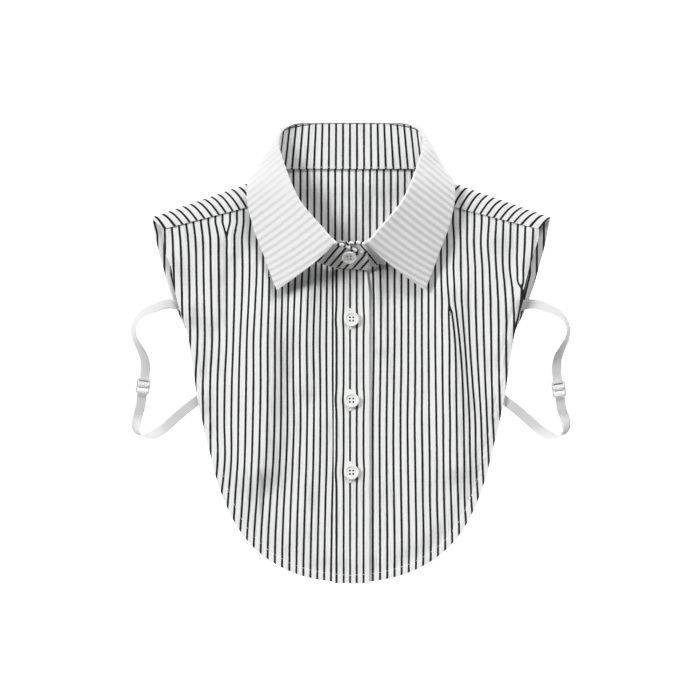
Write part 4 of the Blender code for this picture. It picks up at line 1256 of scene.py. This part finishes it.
def buttonholes():  # a thread bead carried round a long narrow oval, for each button of the band
    turn, bead = circle(holeSpec["steps"]), circle(8)
    straight = holeSpec["halfLength"] - holeSpec["halfWidth"]
    tubes = []
    for buttonY in buttonSpec["rows"]:
        x = holeSpec["x"] + holeSpec["halfWidth"] * np.cos(turn)
        y = buttonY + holeSpec["halfWidth"] * np.sin(turn) + straight * np.tanh(4 * np.sin(turn))
        path = np.column_stack((x, y, bandMiddle(x, y) + bandSpec["thickness"] / 2))
        side = unit(np.cross(np.roll(path, -1, axis=0) - np.roll(path, 1, axis=0), (0, 0, 1)))
        upright = np.tile((0, 0, holeSpec["flatness"]), (len(path), 1))
        points, _ = swept(path, side, upright, holeSpec["bead"] * np.cos(bead), holeSpec["bead"] * np.sin(bead))
        tubes.append((points, gridFaces(len(path) + 1, len(bead), closed=True) % len(points)))
    return addPiece("buttonhole_thread", mended(meshFrom(*gathered(tubes))), whiteThread, [])


holeThread = buttonholes()
print("buttonholes made")


# stage: pale floor, soft key from the upper left, white room, camera straight above

look = {
    "roomTop": 0.03,
    "roomSides": 0.32,  # more at the horizon than overhead, as between tall soft boxes
    # each lamp: strength, degrees above the table, degrees round from +X, softness in degrees
    "lamps": {
        "key": (3.1, 30, 153, 20),
        "top": (1.85, 30, 74, 20),
        "right": (0.8, 30, 0, 20),
        "front": (0.4, 40, 270, 30),
    },
    "gamma": 0.8,  # a little more contrast than the eye has
    "whiteLevel": 1.5,
    # bright cloth keeps its shade, as on film, and only the table goes to white
    "shoulder": ((0.86, 0.86), (0.95, 0.893), (1.05, 0.915), (1.15, 0.938), (1.25, 0.96), (1.4, 0.985)),
    "floorGlow": 1.42,
    "floor": "#6f6f6f",
    "tableSize": 3000,
    "tableTop": -0.3,
    "lens": 150,
    "sensor": 36,
    "frameWidth": 0.595,
    "centre": (-0.85, 1.7),
}


def studio():  # room, lamps by height and direction, glowing table, camera straight above, film curve
    scene = bpy.context.scene
    world = bpy.data.worlds.new("room")
    world.use_nodes = True
    tree = world.node_tree
    background = tree.nodes["Background"]
    background.inputs["Color"].default_value = (1, 1, 1, 1)
    split = addNode(tree, "SeparateXYZ", {0: addNode(tree, "TexCoord", {}).outputs["Generated"]})
    low, high = look["roomTop"] + look["roomSides"], look["roomTop"]
    sky = addNode(tree, "MapRange", {"Value": split.outputs["Z"], "To Min": low, "To Max": high})
    tree.links.new(sky.outputs[0], background.inputs["Strength"])
    scene.world = world
    for name, (strength, above, around, soft) in look["lamps"].items():
        sun = bpy.data.lights.new(name, "SUN")
        sun.energy = strength
        sun.angle = math.radians(soft)
        above, around = math.radians(above), math.radians(around)
        toLight = (math.cos(above) * math.cos(around), math.cos(above) * math.sin(around), math.sin(above))
        placed(name, sun).rotation_euler = Vector(toLight).to_track_quat("Z", "Y").to_euler()
    size = look["tableSize"]
    corners = np.array(((-size, -size), (size, -size), (size, size), (-size, size)))
    mesh = meshFrom(np.column_stack((corners, np.full(4, look["tableTop"]))), [[0, 1, 2, 3]])
    glow = {"Base Color": hexColor(look["floor"]), "Emission Color": (1, 1, 1, 1)}
    glow.update({"Emission Strength": look["floorGlow"], "Specular IOR Level": 0, "Roughness": 0.9})
    mesh.materials.append(newMaterial("paleTable", look["floor"], glow)[0])
    placed("table", mesh)
    lens = bpy.data.cameras.new("camera")
    lens.lens = look["lens"]
    lens.sensor_width = look["sensor"]
    lens.clip_end = 20
    camera = placed("camera", lens)
    x, y = look["centre"]
    camera.location = (x * mm, y * mm, look["frameWidth"] * look["lens"] / look["sensor"])
    scene.camera = camera
    view = scene.view_settings
    view.view_transform = "Standard"
    view.gamma = look["gamma"]
    view.use_curve_mapping = True
    curves = view.curve_mapping
    curves.white_level = (look["whiteLevel"],) * 3
    for value, shown in look["shoulder"]:
        curves.curves[3].points.new(value / look["whiteLevel"], shown).handle_type = "VECTOR"
    curves.update()


studio()
print("stage set")
